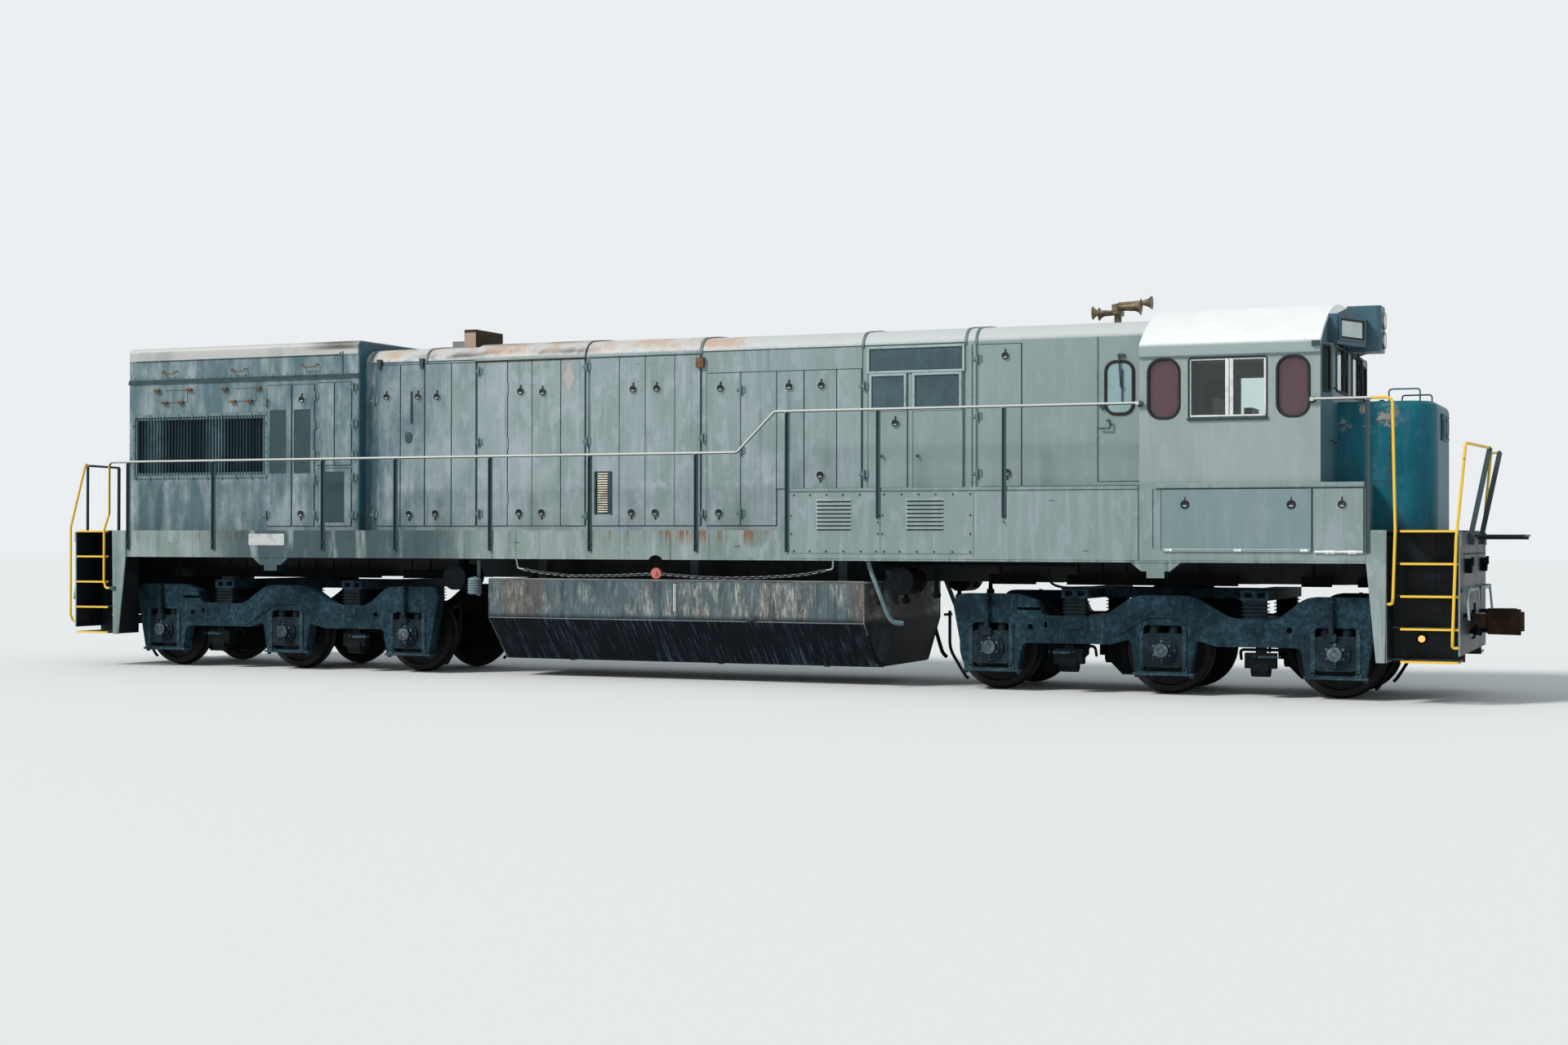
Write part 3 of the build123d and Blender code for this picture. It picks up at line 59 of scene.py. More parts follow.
scene.view_settings.view_transform = "Standard"


# Studio: a wide pale floor, a soft high lamp from behind and to the left of the camera, and an even,
# faintly blue sky light, so that the side is bright and the nose stands in soft shade.
def feed(socket, value):
    """Links a socket to another, or sets its value; a colour is given as red, green and blue."""
    if isinstance(value, bpy.types.NodeSocket):
        socket.id_data.links.new(value, socket)
    else:
        socket.default_value = (*value, 1) if socket.type == "RGBA" else value


def put(tree, kind, sockets=None, **settings):
    """One shader node in a tree, with its settings and what its sockets get."""
    made = tree.nodes.new("ShaderNode" + kind)
    for name, value in settings.items():
        setattr(made, name, value)
    for name, value in (sockets or {}).items():
        feed(made.inputs[name], value)
    return made


def finish_of(name, roughness=0.5, metallic=0.0, specular=0.5, **more):
    """A plain material: the material, its tree and its shader."""
    material = bpy.data.materials.new(name)
    material.use_nodes = True
    shader = material.node_tree.nodes["Principled BSDF"]
    values = {"Roughness": roughness, "Metallic": metallic, "Specular IOR Level": specular}
    for label, value in {**values, **more}.items():
        feed(shader.inputs[label.replace("_", " ")], value)
    return material, material.node_tree, shader


FLOOR_TONE, BACKDROP_TONE, SKY_TINT = (0.8, 0.81, 0.81), (0.83, 0.86, 0.88), (0.86, 0.95, 1.0)
SKY_STRENGTH, LAMP_STRENGTH, LAMP_ANGLE = 0.5, 2.7, math.radians(13)
LAMP_FROM, LAMP_TINT = Vector((-0.52, -0.66, 0.68)), (1.0, 0.985, 0.95)
FLOOR_HALF = 180

floor_mesh = bpy.data.meshes.new("floor")
corners = [(x * FLOOR_HALF, y * FLOOR_HALF, 0) for x, y in ((-1, -1), (1, -1), (1, 1), (-1, 1))]
floor_mesh.from_pydata(corners, [], [(0, 1, 2, 3)])
floor = bpy.data.objects.new("floor", floor_mesh)
scene.collection.objects.link(floor)
floor_mesh.materials.append(finish_of("floor", 0.9, Base_Color=FLOOR_TONE)[0])

world = bpy.data.worlds.new("studio")
world.use_nodes = True
scene.world = world
sky = world.node_tree
sky.nodes.clear()
path = put(sky, "LightPath").outputs
seen = put(sky, "Math", {0: path["Is Camera Ray"], 1: path["Is Glossy Ray"]}, operation="MAXIMUM")
seen = put(sky, "Math", {0: seen.outputs[0], 1: path["Is Transmission Ray"]}, operation="MAXIMUM")
light = put(sky, "Background", {"Color": SKY_TINT, "Strength": SKY_STRENGTH})
backdrop = put(sky, "Background", {"Color": BACKDROP_TONE, "Strength": 1.0})
shown = put(sky, "MixShader", {0: seen.outputs[0], 1: light.outputs[0], 2: backdrop.outputs[0]})
put(sky, "OutputWorld", {"Surface": shown.outputs[0]})

lamp = bpy.data.lights.new("high_lamp", "SUN")
lamp.energy, lamp.angle, lamp.color = LAMP_STRENGTH, LAMP_ANGLE, LAMP_TINT
lamp_stand = bpy.data.objects.new("high_lamp", lamp)
lamp_stand.rotation_euler = LAMP_FROM.to_track_quat("Z", "Y").to_euler()
scene.collection.objects.link(lamp_stand)


# Paint: a grey enamel that has chalked, run with rain and gone patchy. The same weathering is used on
# every painted sheet, each time with its own amounts.
def sums(way, first, *others):
    """Values put together one after the other by a sum, product or the like."""
    for other in others:
        tree = next(value.id_data for value in (first, other) if isinstance(value, bpy.types.NodeSocket))
        first = put(tree, "Math", {0: first, 1: other}, operation=way).outputs[0]
    return first


times, plus, most = partial(sums, "MULTIPLY"), partial(sums, "ADD"), partial(sums, "MAXIMUM")


def size_of(value):
    """A value without its sign."""
    return sums("ABSOLUTE", value, 0.0)


def ramp(value, low, high):
    """0 below low, 1 above high and smooth between; the other way round where low is above high."""
    return put(value.id_data, "MapRange", {"Value": value, "From Min": low, "From Max": high},
               interpolation_type="SMOOTHSTEP").outputs["Result"]


def between(value, low, high, soft=0.02):
    """1 between low and high, with soft edges."""
    return times(ramp(value, low - soft, low + soft), ramp(value, high + soft, high - soft))


def lay(under, over, *shares):
    """Colour over laid on colour under by the product of some shares."""
    share = times(*shares)
    return put(share.id_data, "Mix", {0: share, 6: under, 7: over}, data_type="RGBA").outputs[2]


def axes_of(tree, kind="Object"):
    """X, Y and Z of a point's place in the object's frame, or of its normal."""
    return put(tree, "SeparateXYZ", {0: put(tree, "TexCoord").outputs[kind]}).outputs


def noise_of(tree, scale, detail):
    """Plain noise in the object's frame."""
    place = put(tree, "TexCoord").outputs["Object"]
    return put(tree, "TexNoise", {"Vector": place, "Scale": scale, "Detail": detail}).outputs["Fac"]


def effect(name, takes, gives):
    """A shader node group: its tree, what it takes and where its results go."""
    tree = bpy.data.node_groups.new(name, "ShaderNodeTree")
    for label, value in takes.items():
        kind = "NodeSocketFloat" if isinstance(value, float) else "NodeSocketColor"
        tree.interface.new_socket(label, in_out="INPUT", socket_type=kind).default_value = value
    for label, kind in gives.items():
        tree.interface.new_socket(label, in_out="OUTPUT", socket_type="NodeSocket" + kind)
    return tree, tree.nodes.new("NodeGroupInput").outputs, tree.nodes.new("NodeGroupOutput").inputs


# rain streaks and blotches, both as a mask
runs, takes, gives = effect(
    "rain_runs", {"Across": 8.0, "Inward": 1.0, "Down": 0.4, "Low": 0.5, "High": 0.65}, {"Mask": "Float"})
across = takes["Across"]
stretch = put(runs, "CombineXYZ", {"X": across, "Y": times(across, takes["Inward"]), "Z": takes["Down"]})
stretched = put(runs, "VectorMath", {0: put(runs, "TexCoord").outputs["Object"], 1: stretch.outputs[0]},
                operation="MULTIPLY")
grain = put(runs, "TexNoise",
            {"Vector": stretched.outputs[0], "Scale": 1.0, "Detail": 6.0, "Roughness": 0.62})
feed(gives["Mask"], ramp(grain.outputs["Fac"], takes["Low"], takes["High"]))

blotches, takes, gives = effect(
    "blotches", {"Size": 1.0, "Low": 0.5, "High": 0.65, "Seed": 0.0}, {"Mask": "Float"})
grain = put(blotches, "TexNoise", {"Vector": put(blotches, "TexCoord").outputs["Object"], "W": takes["Seed"],
                                   "Detail": 8.0, "Scale": takes["Size"], "Roughness": 0.68},
            noise_dimensions="4D")
feed(gives["Mask"], ramp(grain.outputs["Fac"], takes["Low"], takes["High"]))


def streaks(tree, across, down, low, high, inward=1.0):
    """Rain streaks in a tree."""
    values = {"Across": across, "Inward": inward, "Down": down, "Low": low, "High": high}
    return put(tree, "Group", values, node_tree=runs).outputs[0]


def blots(tree, size, low, high, seed):
    """Blotches in a tree."""
    values = {"Size": size, "Low": low, "High": high, "Seed": seed}
    return put(tree, "Group", values, node_tree=blotches).outputs[0]


CHALK_TONE, DIRT_TONE, RUST_TONE = (0.375, 0.415, 0.465), (0.04, 0.066, 0.068), (0.17, 0.07, 0.026)
weather, takes, gives = effect(
    "weathered_paint",
    {"Colour": (0.3, 0.35, 0.35, 1), "Faded": (0.35, 0.4, 0.42, 1), "Chalk": 0.4, "Dirt": 0.4, "Rust": 0.2},
    {"Colour": "Color", "Roughness": "Float", "Height": "Float"})
coat = lay(takes["Colour"], takes["Faded"], streaks(weather, 1.6, 0.8, 0.36, 0.64))
chalky = most(times(streaks(weather, 5.0, 2.4, 0.53, 0.61), 0.8), streaks(weather, 10.0, 0.9, 0.5, 0.68))
chalk = times(chalky, takes["Chalk"])
dirt = times(streaks(weather, 13.0, 0.5, 0.55, 0.75), takes["Dirt"])
rust = times(blots(weather, 14.0, 0.66, 0.72, 7.0), takes["Rust"])
feed(gives["Colour"], lay(lay(lay(coat, CHALK_TONE, chalk), DIRT_TONE, dirt), RUST_TONE, rust))
feed(gives["Roughness"], plus(times(chalk, 0.25), times(dirt, 0.3), 0.42))
feed(gives["Height"], plus(times(noise_of(weather, 2.6, 2.0), 0.02), times(rust, 0.004)))


def weathered(tree, colour, faded, chalk, dirt, rust):
    """The weathered coat's colour, roughness and height."""
    values = {"Colour": colour, "Faded": faded, "Chalk": chalk, "Dirt": dirt, "Rust": rust}
    return put(tree, "Group", values, node_tree=weather).outputs


def wire(shader, colour, roughness=None, height=None, depth=0.3):
    """Feeds the shader's colour, roughness and bump."""
    feed(shader.inputs["Base Color"], colour)
    if roughness is not None:
        feed(shader.inputs["Roughness"], roughness)
    if height is not None:
        bump = put(shader.id_data, "Bump", {"Height": height, "Strength": depth, "Distance": 1.0})
        feed(shader.inputs["Normal"], bump.outputs["Normal"])


def patchy(name, tone, worn, spots, roughness=0.5, metallic=0.0, specular=0.5, depth=0.0):
    """Paint of one colour that turns to another in patches."""
    material, tree, shader = finish_of(name, roughness, metallic, specular)
    wear = blots(tree, *spots)
    wire(shader, lay(tone, worn, wear), None, wear if depth else None, depth)
    return material


def dress(material, *names):
    """Gives CAD nodes their material."""
    for name in names:
        slots = nodes[name].data.materials
        slots.clear()
        slots.append(material)


REAR_DIRT, SHADE_TONE, SOOT_TONE = (0.044, 0.104, 0.126), (0.018, 0.09, 0.118), (0.045, 0.032, 0.022)
ROOF_HIGHLIGHT_AND_FADE, ROOF_RUST = (0.56, 0.58, 0.58), (0.5, 0.31, 0.2)


def body_paint(name, tone, faded, amounts, front, hood=False):
    """The body's grey: on the hood a pale roof (a painted highlight on sun-faded paint), a sooty lid and a
    darker rear; on every sheet, forward-facing faces laid dark blue as painted shade, on the cab front also
    its blue-green paint.
    """
    material, tree, shader = finish_of(name, specular=0.35)
    x, y, z = axes_of(tree)
    ahead, _, upward = axes_of(tree, "Normal")
    colour, rough, height = weathered(tree, tone, faded, *amounts)
    if hood:
        # every door leaf a little different, chalk at their feet, and a smoother coat towards the cab
        cells = put(tree, "TexWhiteNoise", {"W": sums("SNAP", x, 0.405)}, noise_dimensions="1D")
        colour = lay(colour, (0.13, 0.19, 0.2), cells.outputs["Value"], 0.22)
        colour = lay(colour, CHALK_TONE, between(z, 1.9, 2.95, 0.35), blots(tree, 1.9, 0.5, 0.62, 11.0), 0.55)
        colour = lay(colour, (0.222, 0.288, 0.28), ramp(x, 1.0, 3.2), 0.72)
        # road dirt thrown up behind, thick on the radiator section and thin past the first doors
        where = most(times(ramp(x, -4.9, -5.1), 0.66), times(ramp(x, -2.6, -4.9), 0.86))
        colour = lay(colour, REAR_DIRT, streaks(tree, 3.4, 1.1, 0.34, 0.62), where)
        cloud = times(blots(tree, 1.9, 0.42, 0.66, 31.0), ramp(x, 0.5, -2.5), ramp(x, -6.2, -4.6))
        colour = lay(colour, (0.36, 0.4, 0.42), cloud, 0.42)
        # a streaked dark teal band just ahead of the radiator section's step: painted shadow cast by the wider
        # section, with grime
        step_shadow_and_grime = times(streaks(tree, 6.0, 1.4, 0.3, 0.55), between(x, -5.02, -4.72, 0.12))
        colour = lay(colour, (0.016, 0.07, 0.09), step_shadow_and_grime, 0.85)
        # a patch where a transfer has peeled off to bare primer, on the right side
        across = sums("DIVIDE", size_of(plus(x, 1.8)), 0.1)
        over = sums("DIVIDE", size_of(plus(z, -4.01)), 0.23)
        reach = plus(across, over, times(noise_of(tree, 16.0, 4.0), 0.7))
        on_right = ramp(y, -0.5, -0.6)
        colour = lay(colour, (0.4, 0.37, 0.36), ramp(reach, 1.36, 1.3), on_right, 0.85)
        colour = lay(colour, (0.2, 0.11, 0.07), between(reach, 1.26, 1.36, 0.03), on_right, 0.45)
        # the roof's upward-facing round edge painted pale: a painted highlight on sun-faded paint; scorched
        # about the stack and stained brown along the middle
        crown = times(ramp(upward, 0.12, 0.55), ramp(z, 4.28, 4.34))
        colour = lay(colour, ROOF_HIGHLIGHT_AND_FADE, crown, 0.85)
        brown = times(between(x, -6.5, 1.6, 1.4), blots(tree, 2.4, 0.42, 0.6, 3.0))
        colour = lay(colour, ROOF_RUST, crown, brown, 0.75)
        near = times(between(x, -4.1, -1.3, 0.5), blots(tree, 1.7, 0.4, 0.58, 6.0))
        colour = lay(colour, SOOT_TONE, crown, near, most(ramp(z, 4.44, 4.34), ramp(z, 4.46, 4.53)))
        # the radiator section's rounded eaves painted pale with streaks, a painted highlight where the rounded
        # corner catches the sun, a dark line under them, and its sooty lid
        eaves_highlight_share = plus(times(streaks(tree, 1.6, 0.8, 0.2, 0.5), 0.45), 0.45)
        behind = ramp(x, -5.02, -5.06)
        eaves = times(ramp(z, 4.416, 4.432), behind, ramp(ahead, 0.5, 0.2))
        colour = lay(colour, (0.5, 0.49, 0.47), eaves, eaves_highlight_share)
        colour = lay(colour, (0.06, 0.085, 0.09), between(z, 4.404, 4.416, 0.003), behind, 0.75)
        colour = lay(colour, (0.035, 0.03, 0.028), between(x, -5.75, -4.97, 0.35), ramp(z, 4.47, 4.52), 0.85)
    # forward-facing faces laid toward SHADE_TONE by the front share: painted shade, on the cab front also its
    # blue-green paint
    wire(shader, lay(colour, SHADE_TONE, ramp(ahead, 0.15, 0.9), front), rough, height)
    return material


# each with its tone, the same faded, its chalk, dirt and rust, and how much painted shade (a dark blue) its
# forward-facing faces get
hood_grey = body_paint("hood_grey", (0.205, 0.272, 0.262), (0.27, 0.325, 0.345), (0.55, 0.45, 0.6), 0.88,
                       True)
cab_grey = body_paint("cab_grey", (0.245, 0.3, 0.292), (0.275, 0.325, 0.33), (0.2, 0.12, 0.3), 0.9)
duct_grey = body_paint("duct_grey", (0.185, 0.248, 0.24), (0.215, 0.268, 0.272), (0.28, 0.3, 0.8), 0.6)
battery_grey = body_paint("battery_grey", (0.155, 0.225, 0.228), (0.18, 0.245, 0.262), (0.1, 0.15, 0.3),
                          0.6)
dress(hood_grey, "engine_hood", "hood_doors", "radiator_cab", "engine_door_right_rear",
      "engine_door_right_front",
      "engine_door_left_rear", "engine_door_left_front")
dress(cab_grey, "cab_walls", "cab_door_rear", "cab_door_front")
dress(duct_grey, "cab_base", "raised_walkways")
dress(battery_grey, "battery_door_right", "battery_door_left")

# the nose, faded to a blue-green
nose_blue, tree, shader = finish_of("nose_blue", specular=0.14)
x, y, z = axes_of(tree)
coat, rough, height = weathered(tree, (0.003, 0.094, 0.136), (0.008, 0.13, 0.18), 0.05, 0.5, 0.5)
scuffs = times(blots(tree, 5.0, 0.52, 0.6, 21.0), between(z, 3.12, 3.42, 0.06), ramp(x, 9.1, 8.7))
wire(shader, lay(coat, (0.36, 0.3, 0.27), scuffs, 0.8), rough, height)
dress(nose_blue, "short_hood")

# the roofs, sun-bleached almost white
roof_white, tree, shader = finish_of("roof_white")
x, y, z = axes_of(tree)
coat, rough, height = weathered(tree, (0.78, 0.8, 0.8), (0.84, 0.86, 0.86), 0.0, 0.1, 0.2)
wire(shader, lay(coat, (0.275, 0.335, 0.34), ramp(z, 4.16, 4.1)), rough, height)
dress(roof_white, "cab_roof")

# Frame paint: the side sills and pilots are body grey outside, with rust bleeding down from the deck's
# edge, and everything inside and under them is black with oil and road dirt.
BLACK_TONE = (0.014, 0.018, 0.022)
frame_grey, tree, shader = finish_of("frame_grey", specular=0.2)
x, y, z = axes_of(tree)
coat, rough, height = weathered(tree, (0.165, 0.225, 0.21), (0.235, 0.29, 0.28), 0.45, 0.8, 0.9)
rusting = most(blots(tree, 0.8, 0.47, 0.6, 5.0), between(x, -1.1, 1.3, 0.35))
coat = lay(coat, RUST_TONE, streaks(tree, 15.0, 1.3, 0.46, 0.64), ramp(z, 1.7, 1.93), rusting, 0.85)
oil = times(streaks(tree, 4.2, 0.7, 0.3, 0.46), between(x, -7.2, -3.2, 0.6))
coat = lay(coat, (0.022, 0.05, 0.06), oil, 0.85)
beside = size_of(y)
jack = times(between(size_of(x), 5.95, 6.57), between(z, 1.39, 1.6), ramp(beside, 1.505, 1.508))
shown = most(ramp(beside, 1.5185, 1.5195), jack, times(ramp(z, 1.955, 1.96), 0.6))
wire(shader, lay(BLACK_TONE, coat, shown), rough, height)
dress(frame_grey, "underframe", "pilot_front", "pilot_rear", "drop_step_front", "drop_step_rear")


# Running gear: castings under years of oil and brake dust, almost black with a blue-grey bloom where
# the dust is dry, wheel rims worn bare, and black rubber in the springs.
def grimy_iron(name, tone, bloom, amount, roughness=0.7, metallic=0.0, specular=0.12):
    """Iron under oil and dust."""
    material, tree, shader = finish_of(name, roughness, metallic, specular)
    fine = blots(tree, 17.0, 0.38, 0.7, 8.0)
    broad = most(blots(tree, 2.2, 0.36, 0.66, 2.0), streaks(tree, 12.0, 1.6, 0.5, 0.72))
    dust_and_glint = most(times(broad, plus(times(fine, 0.8), 0.2)), ramp(axes_of(tree, "Normal")[2], 0.3, 0.9))
    wire(shader, lay(tone, bloom, dust_and_glint, amount), None, fine, 0.04)
    return material


cast_iron = grimy_iron("cast_iron", (0.003, 0.011, 0.018), (0.04, 0.104, 0.14), 0.85)
wheel_iron = grimy_iron("wheel_iron", (0.005, 0.006, 0.008), (0.028, 0.026, 0.027), 0.8, 0.5)
box_iron = grimy_iron("box_iron", (0.004, 0.009, 0.013), (0.045, 0.088, 0.115), 0.6)
under_iron = grimy_iron("under_iron", (0.003, 0.004, 0.005), (0.013, 0.019, 0.022), 0.6, specular=0.06)
rubber_black = grimy_iron("rubber_black", (0.005, 0.009, 0.012), (0.022, 0.048, 0.06), 0.7, 0.8)
coupler_rust = grimy_iron("coupler_rust", (0.03, 0.018, 0.012), (0.11, 0.06, 0.035), 0.8, 0.75)
for end in ("rear", "front"):
    dress(cast_iron, f"truck_frame_{end}", f"bolster_{end}")
    dress(rubber_black, f"spring_nests_{end}")
    dress(box_iron, f"axle_boxes_{end}")
    dress(under_iron, f"traction_motors_{end}", f"brake_gear_{end}")
    dress(coupler_rust, f"coupler_{end}", f"knuckle_{end}")
    dress(wheel_iron, *(f"wheelset_{end}_{number}" for number in (1, 2, 3)))
dress(under_iron, "air_reservoirs", "diesel_engine", "fan_drive", "radiator_fan")

# Fuel tank: black paint on a welded steel box. The upright sides are scoured by weather into pale upright
# scratches, with a pale band along the top edge as a painted highlight; the sloping lower sides are near black
# with spilt oil and painted shade, streaked blue as a painted sheen on the wet oil.
tank_black, tree, shader = finish_of("tank_black", 0.6, specular=0.08)
z = axes_of(tree)["Z"]
scour = streaks(tree, 42.0, 5.0, 0.44, 0.58, 0.1)
broad = streaks(tree, 11.0, 2.4, 0.42, 0.58, 0.1)
base = lay((0.075, 0.11, 0.125), (0.095, 0.088, 0.085), streaks(tree, 1.2, 0.5, 0.48, 0.62, 0.1))
base = lay(base, (0.02, 0.032, 0.04), streaks(tree, 7.0, 0.9, 0.46, 0.62, 0.1), 0.6)
pale = times(most(scour, times(blots(tree, 26.0, 0.4, 0.62, 9.0), 0.5)), plus(times(broad, 0.7), 0.1),
             plus(times(blots(tree, 1.3, 0.4, 0.56, 6.0), 0.75), 0.2))
upper = lay(base, (0.42, 0.42, 0.38), pale, between(z, 0.86, 1.29, 0.04))
# a pale band along the top edge: painted highlight
upper = lay(upper, (0.46, 0.47, 0.45), between(z, 1.302, 1.33, 0.004))
# the sloping lower sides: near black as spilt oil with painted shade, and blue streaks of painted sheen on the
# wet oil
lower = lay((0.002, 0.0038, 0.0075), (0.06, 0.098, 0.14), streaks(tree, 30.0, 1.6, 0.48, 0.66, 0.05),
            plus(times(blots(tree, 1.4, 0.42, 0.62, 17.0), 0.6), 0.12))
wire(shader, lay(lower, upper, ramp(z, 0.78, 0.88)), None, scour, 0.03)
dress(tank_black, "fuel_tank")


# Screens and radiator cores: dark galvanised mesh and fins, with a little light on each wire.
def mesh_dark(name, tone, glint, pitch, along):
    """Close upright wires, as stripes of painted glint with bump; the small screens' wires are too fine to
    tell apart.
    """
    material, tree, shader = finish_of(name, 0.6, specular=0.2)
    place = axes_of(tree)
    bright = ramp(sums("PINGPONG", place[along], pitch / 2), pitch * 0.3, pitch * 0.42)
    small = times(ramp(place["X"], -6.58, -6.57), ramp(place["Z"], 4.5, 4.49))
    shine = plus(times(ramp(place["X"], 0.0, 0.1), 0.34), 0.16)
    fine = ramp(sums("PINGPONG", place[along], 0.006), 0.0, 0.006)
    bright = plus(times(bright, sums("SUBTRACT", 1.0, small)), times(fine, small, shine))
    dust_and_glint = times(bright, plus(times(blots(tree, 2.5, 0.35, 0.7, 12.0), 0.6), 0.4))
    wire(shader, lay(tone, glint, dust_and_glint), None, bright, 0.02)
    return material


screen_dark = mesh_dark("screen_dark", (0.024, 0.046, 0.054), (0.19, 0.31, 0.35), 0.052, "X")
core_dark = mesh_dark("core_dark", (0.01, 0.012, 0.013), (0.04, 0.046, 0.048), 0.03, "Y")
dress(screen_dark, "intake_grilles")
dress(core_dark, "radiator_cores")

# Yellow safety paint on the step edges and grab bars, chipped to black primer; the rails are black
# paint that hands have worn to bare steel along the top.
STEP_YELLOW = (0.8, 0.5, 0.035)


def chipped(tree, under, amount):
    """The yellow, with chips through to what is under it."""
    return lay(STEP_YELLOW, under, blots(tree, 9.0, 0.62, 0.66, 13.0), amount)


step_paint, tree, shader = finish_of("step_paint", 0.45)
edge = ramp(size_of(axes_of(tree)["Y"]), 1.512, 1.516)
wire(shader, lay((0.035, 0.045, 0.05), chipped(tree, (0.09, 0.06, 0.03), 0.7), edge))
dress(step_paint, "steps")

rail_paint, tree, shader = finish_of("rail_paint", 0.45)
x, y, z = axes_of(tree)
beside = size_of(y)
low_run = times(ramp(x, 0.9, 0.88), between(z, 2.926, 2.97, 0.003))
high_run = times(ramp(x, 1.38, 1.4), between(z, 3.433, 3.477, 0.003))
held = most(low_run, between(x, 0.89, 1.45, 0.01), high_run)
worn = times(held, ramp(beside, 1.526, 1.53), ramp(axes_of(tree, "Normal")["Z"], -0.75, 0.05))
colour = lay((0.022, 0.05, 0.058), (0.52, 0.53, 0.5), worn)
bright = most(times(ramp(x, 8.735, 8.745), ramp(beside, 0.72, 0.74)),
              times(ramp(x, -9.035, -9.045), ramp(beside, 1.27, 1.28)))
wire(shader, lay(colour, chipped(tree, (0.06, 0.05, 0.04), 0.8), bright))
dress(rail_paint, "handrail_right", "handrail_left")

# Glass, lamps and the cab's inside: clear panes, a drab green room, black seats and a grey desk.
dress(finish_of("pane", 0.03, Transmission_Weight=1.0, IOR=1.45, Base_Color=(0.8, 0.9, 0.88))[0],
      "cab_glass")
lamp_rim = patchy("lamp_rim", (0.3, 0.31, 0.31), (0.12, 0.12, 0.12), (12.0, 0.5, 0.65, 2.0), 0.3, 0.6)
dress(lamp_rim, "headlights")
seat_vinyl, tree, shader = finish_of("seat_vinyl", 0.5)
grain = noise_of(tree, 60.0, 3.0)
wire(shader, lay((0.012, 0.012, 0.012), (0.035, 0.033, 0.032), grain), None, grain, 0.1)
dress(seat_vinyl, "cab_seats")
dress(patchy("desk_green", (0.2, 0.25, 0.21), (0.15, 0.19, 0.16), (3.0, 0.4, 0.6, 5.0)), "control_stand")

# Horn and stack: bare brass gone brown, and steel baked red and black by the exhaust, the stack's
# sideways-facing ends laid pale pink as a painted highlight.
horn_brown = patchy("horn_brown", (0.205, 0.155, 0.09), (0.06, 0.045, 0.028), (6.0, 0.4, 0.65, 1.0), 0.5,
                    0.4)
dress(horn_brown, "horn")
stack_black, tree, shader = finish_of("stack_black", 0.8, specular=0.2)
x, y, z = axes_of(tree)
colour = lay((0.046, 0.034, 0.022), (0.11, 0.062, 0.04), blots(tree, 5.0, 0.45, 0.7, 1.0))
# the sideways-facing ends below the top laid pale pink: a painted highlight where the sun falls on the rusty
# casing
sunlit_ends = times(ramp(size_of(axes_of(tree, "Normal")["Y"]), 0.4, 0.8), ramp(z, 4.745, 4.725))
colour = lay(colour, (0.44, 0.33, 0.27), sunlit_ends, 0.9)
wire(shader, lay(colour, (0.21, 0.225, 0.235), ramp(z, 4.632, 4.622), ramp(x, -3.815, -3.825)))
dress(stack_black, "exhaust_stack")


# Hood fittings: hinge straps, round turn latches, dark gaps round the doors, roof joint straps, lifting
# lugs and handles. All are small steel forgings bolted or welded to the sheet.
UP, OUT = (0, 0, 1), (0, 1, 0)
HEX, SCREW = ((0, 0.013), (0.009, 0.013), (0.013, 0.009)), ((0, 0.013), (0.006, 0.013), (0.01, 0.008))
SMOOTH_UNDER = math.radians(38)


def meshes(count):
    """Some empty meshes."""
    return [bmesh.new() for _ in range(count)]


ROUND = {}  # for each mesh, the points of its round parts and how to make them again elsewhere


def mirrored(*parts, hand="both", axis=1):
    """Repeats meshes that were made on the left on the right as well, or moves them there."""
    flip = Vector([-1 if number == axis else 1 for number in range(3)])
    for mesh in parts if hand != "left" else ():
        rounds = ROUND.pop(mesh, [])
        known = {point for points, _ in rounds for point in points}
        found = [part for part in (*mesh.verts, *mesh.edges, *mesh.faces)
                 if known.isdisjoint(getattr(part, "verts", (part,)))]
        if hand == "both":
            found = bmesh.ops.duplicate(mesh, geom=found)["geom"] if found else []
            ROUND[mesh] = rounds[:]
        for part in found:
            if isinstance(part, bmesh.types.BMVert):
                part.co *= flip
        if hand == "right":
            bmesh.ops.delete(mesh, geom=list(known), context="VERTS")
        for _, again in rounds:
            again(flip)


def square_to(way):
    """A direction made one long, and two more square to it."""
    way = Vector(way).normalized()
    across = way.orthogonal().normalized()
    return way, across, way.cross(across)


def ring(mesh, centre, across, over, radius, sides):
    """Points round a circle."""
    turns = [math.tau * step / sides for step in range(sides)]
    return [mesh.verts.new(centre + (across * math.cos(a) + over * math.sin(a)) * radius) for a in turns]


def skin(mesh, rings):
    """Faces round a row of rings."""
    for near, far in zip(rings, rings[1:]):
        for step in range(len(near)):
            mesh.faces.new((near[step - 1], near[step], far[step], far[step - 1]))


def closed(mesh, rings):
    """A skin with a face over each end."""
    skin(mesh, rings)
    mesh.faces.new(reversed(rings[0]))
    mesh.faces.new(rings[-1])


def remember(mesh, rings, again):
    """Notes a round part, whose facets lie differently on each side."""
    ROUND.setdefault(mesh, []).append(([point for points in rings for point in points], again))


def turned(mesh, start, way, profile, sides=12):
    """A round fitting: (distance along, radius) pairs turned about an axis."""
    way, across, over = square_to(way)
    rings = [ring(mesh, Vector(start) + way * along, across, over, radius, sides) for along, radius in profile]
    closed(mesh, rings)
    remember(mesh, rings, lambda flip: turned(mesh, flip * Vector(start), flip * way, profile, sides))


def stud(mesh, x, y, z, profile=HEX, sides=6):
    """A round fitting that faces outward."""
    turned(mesh, (x, y, z), OUT, profile, sides)


def about(middle, reach):
    """The limits as far to either side of a middle."""
    return middle - reach, middle + reach


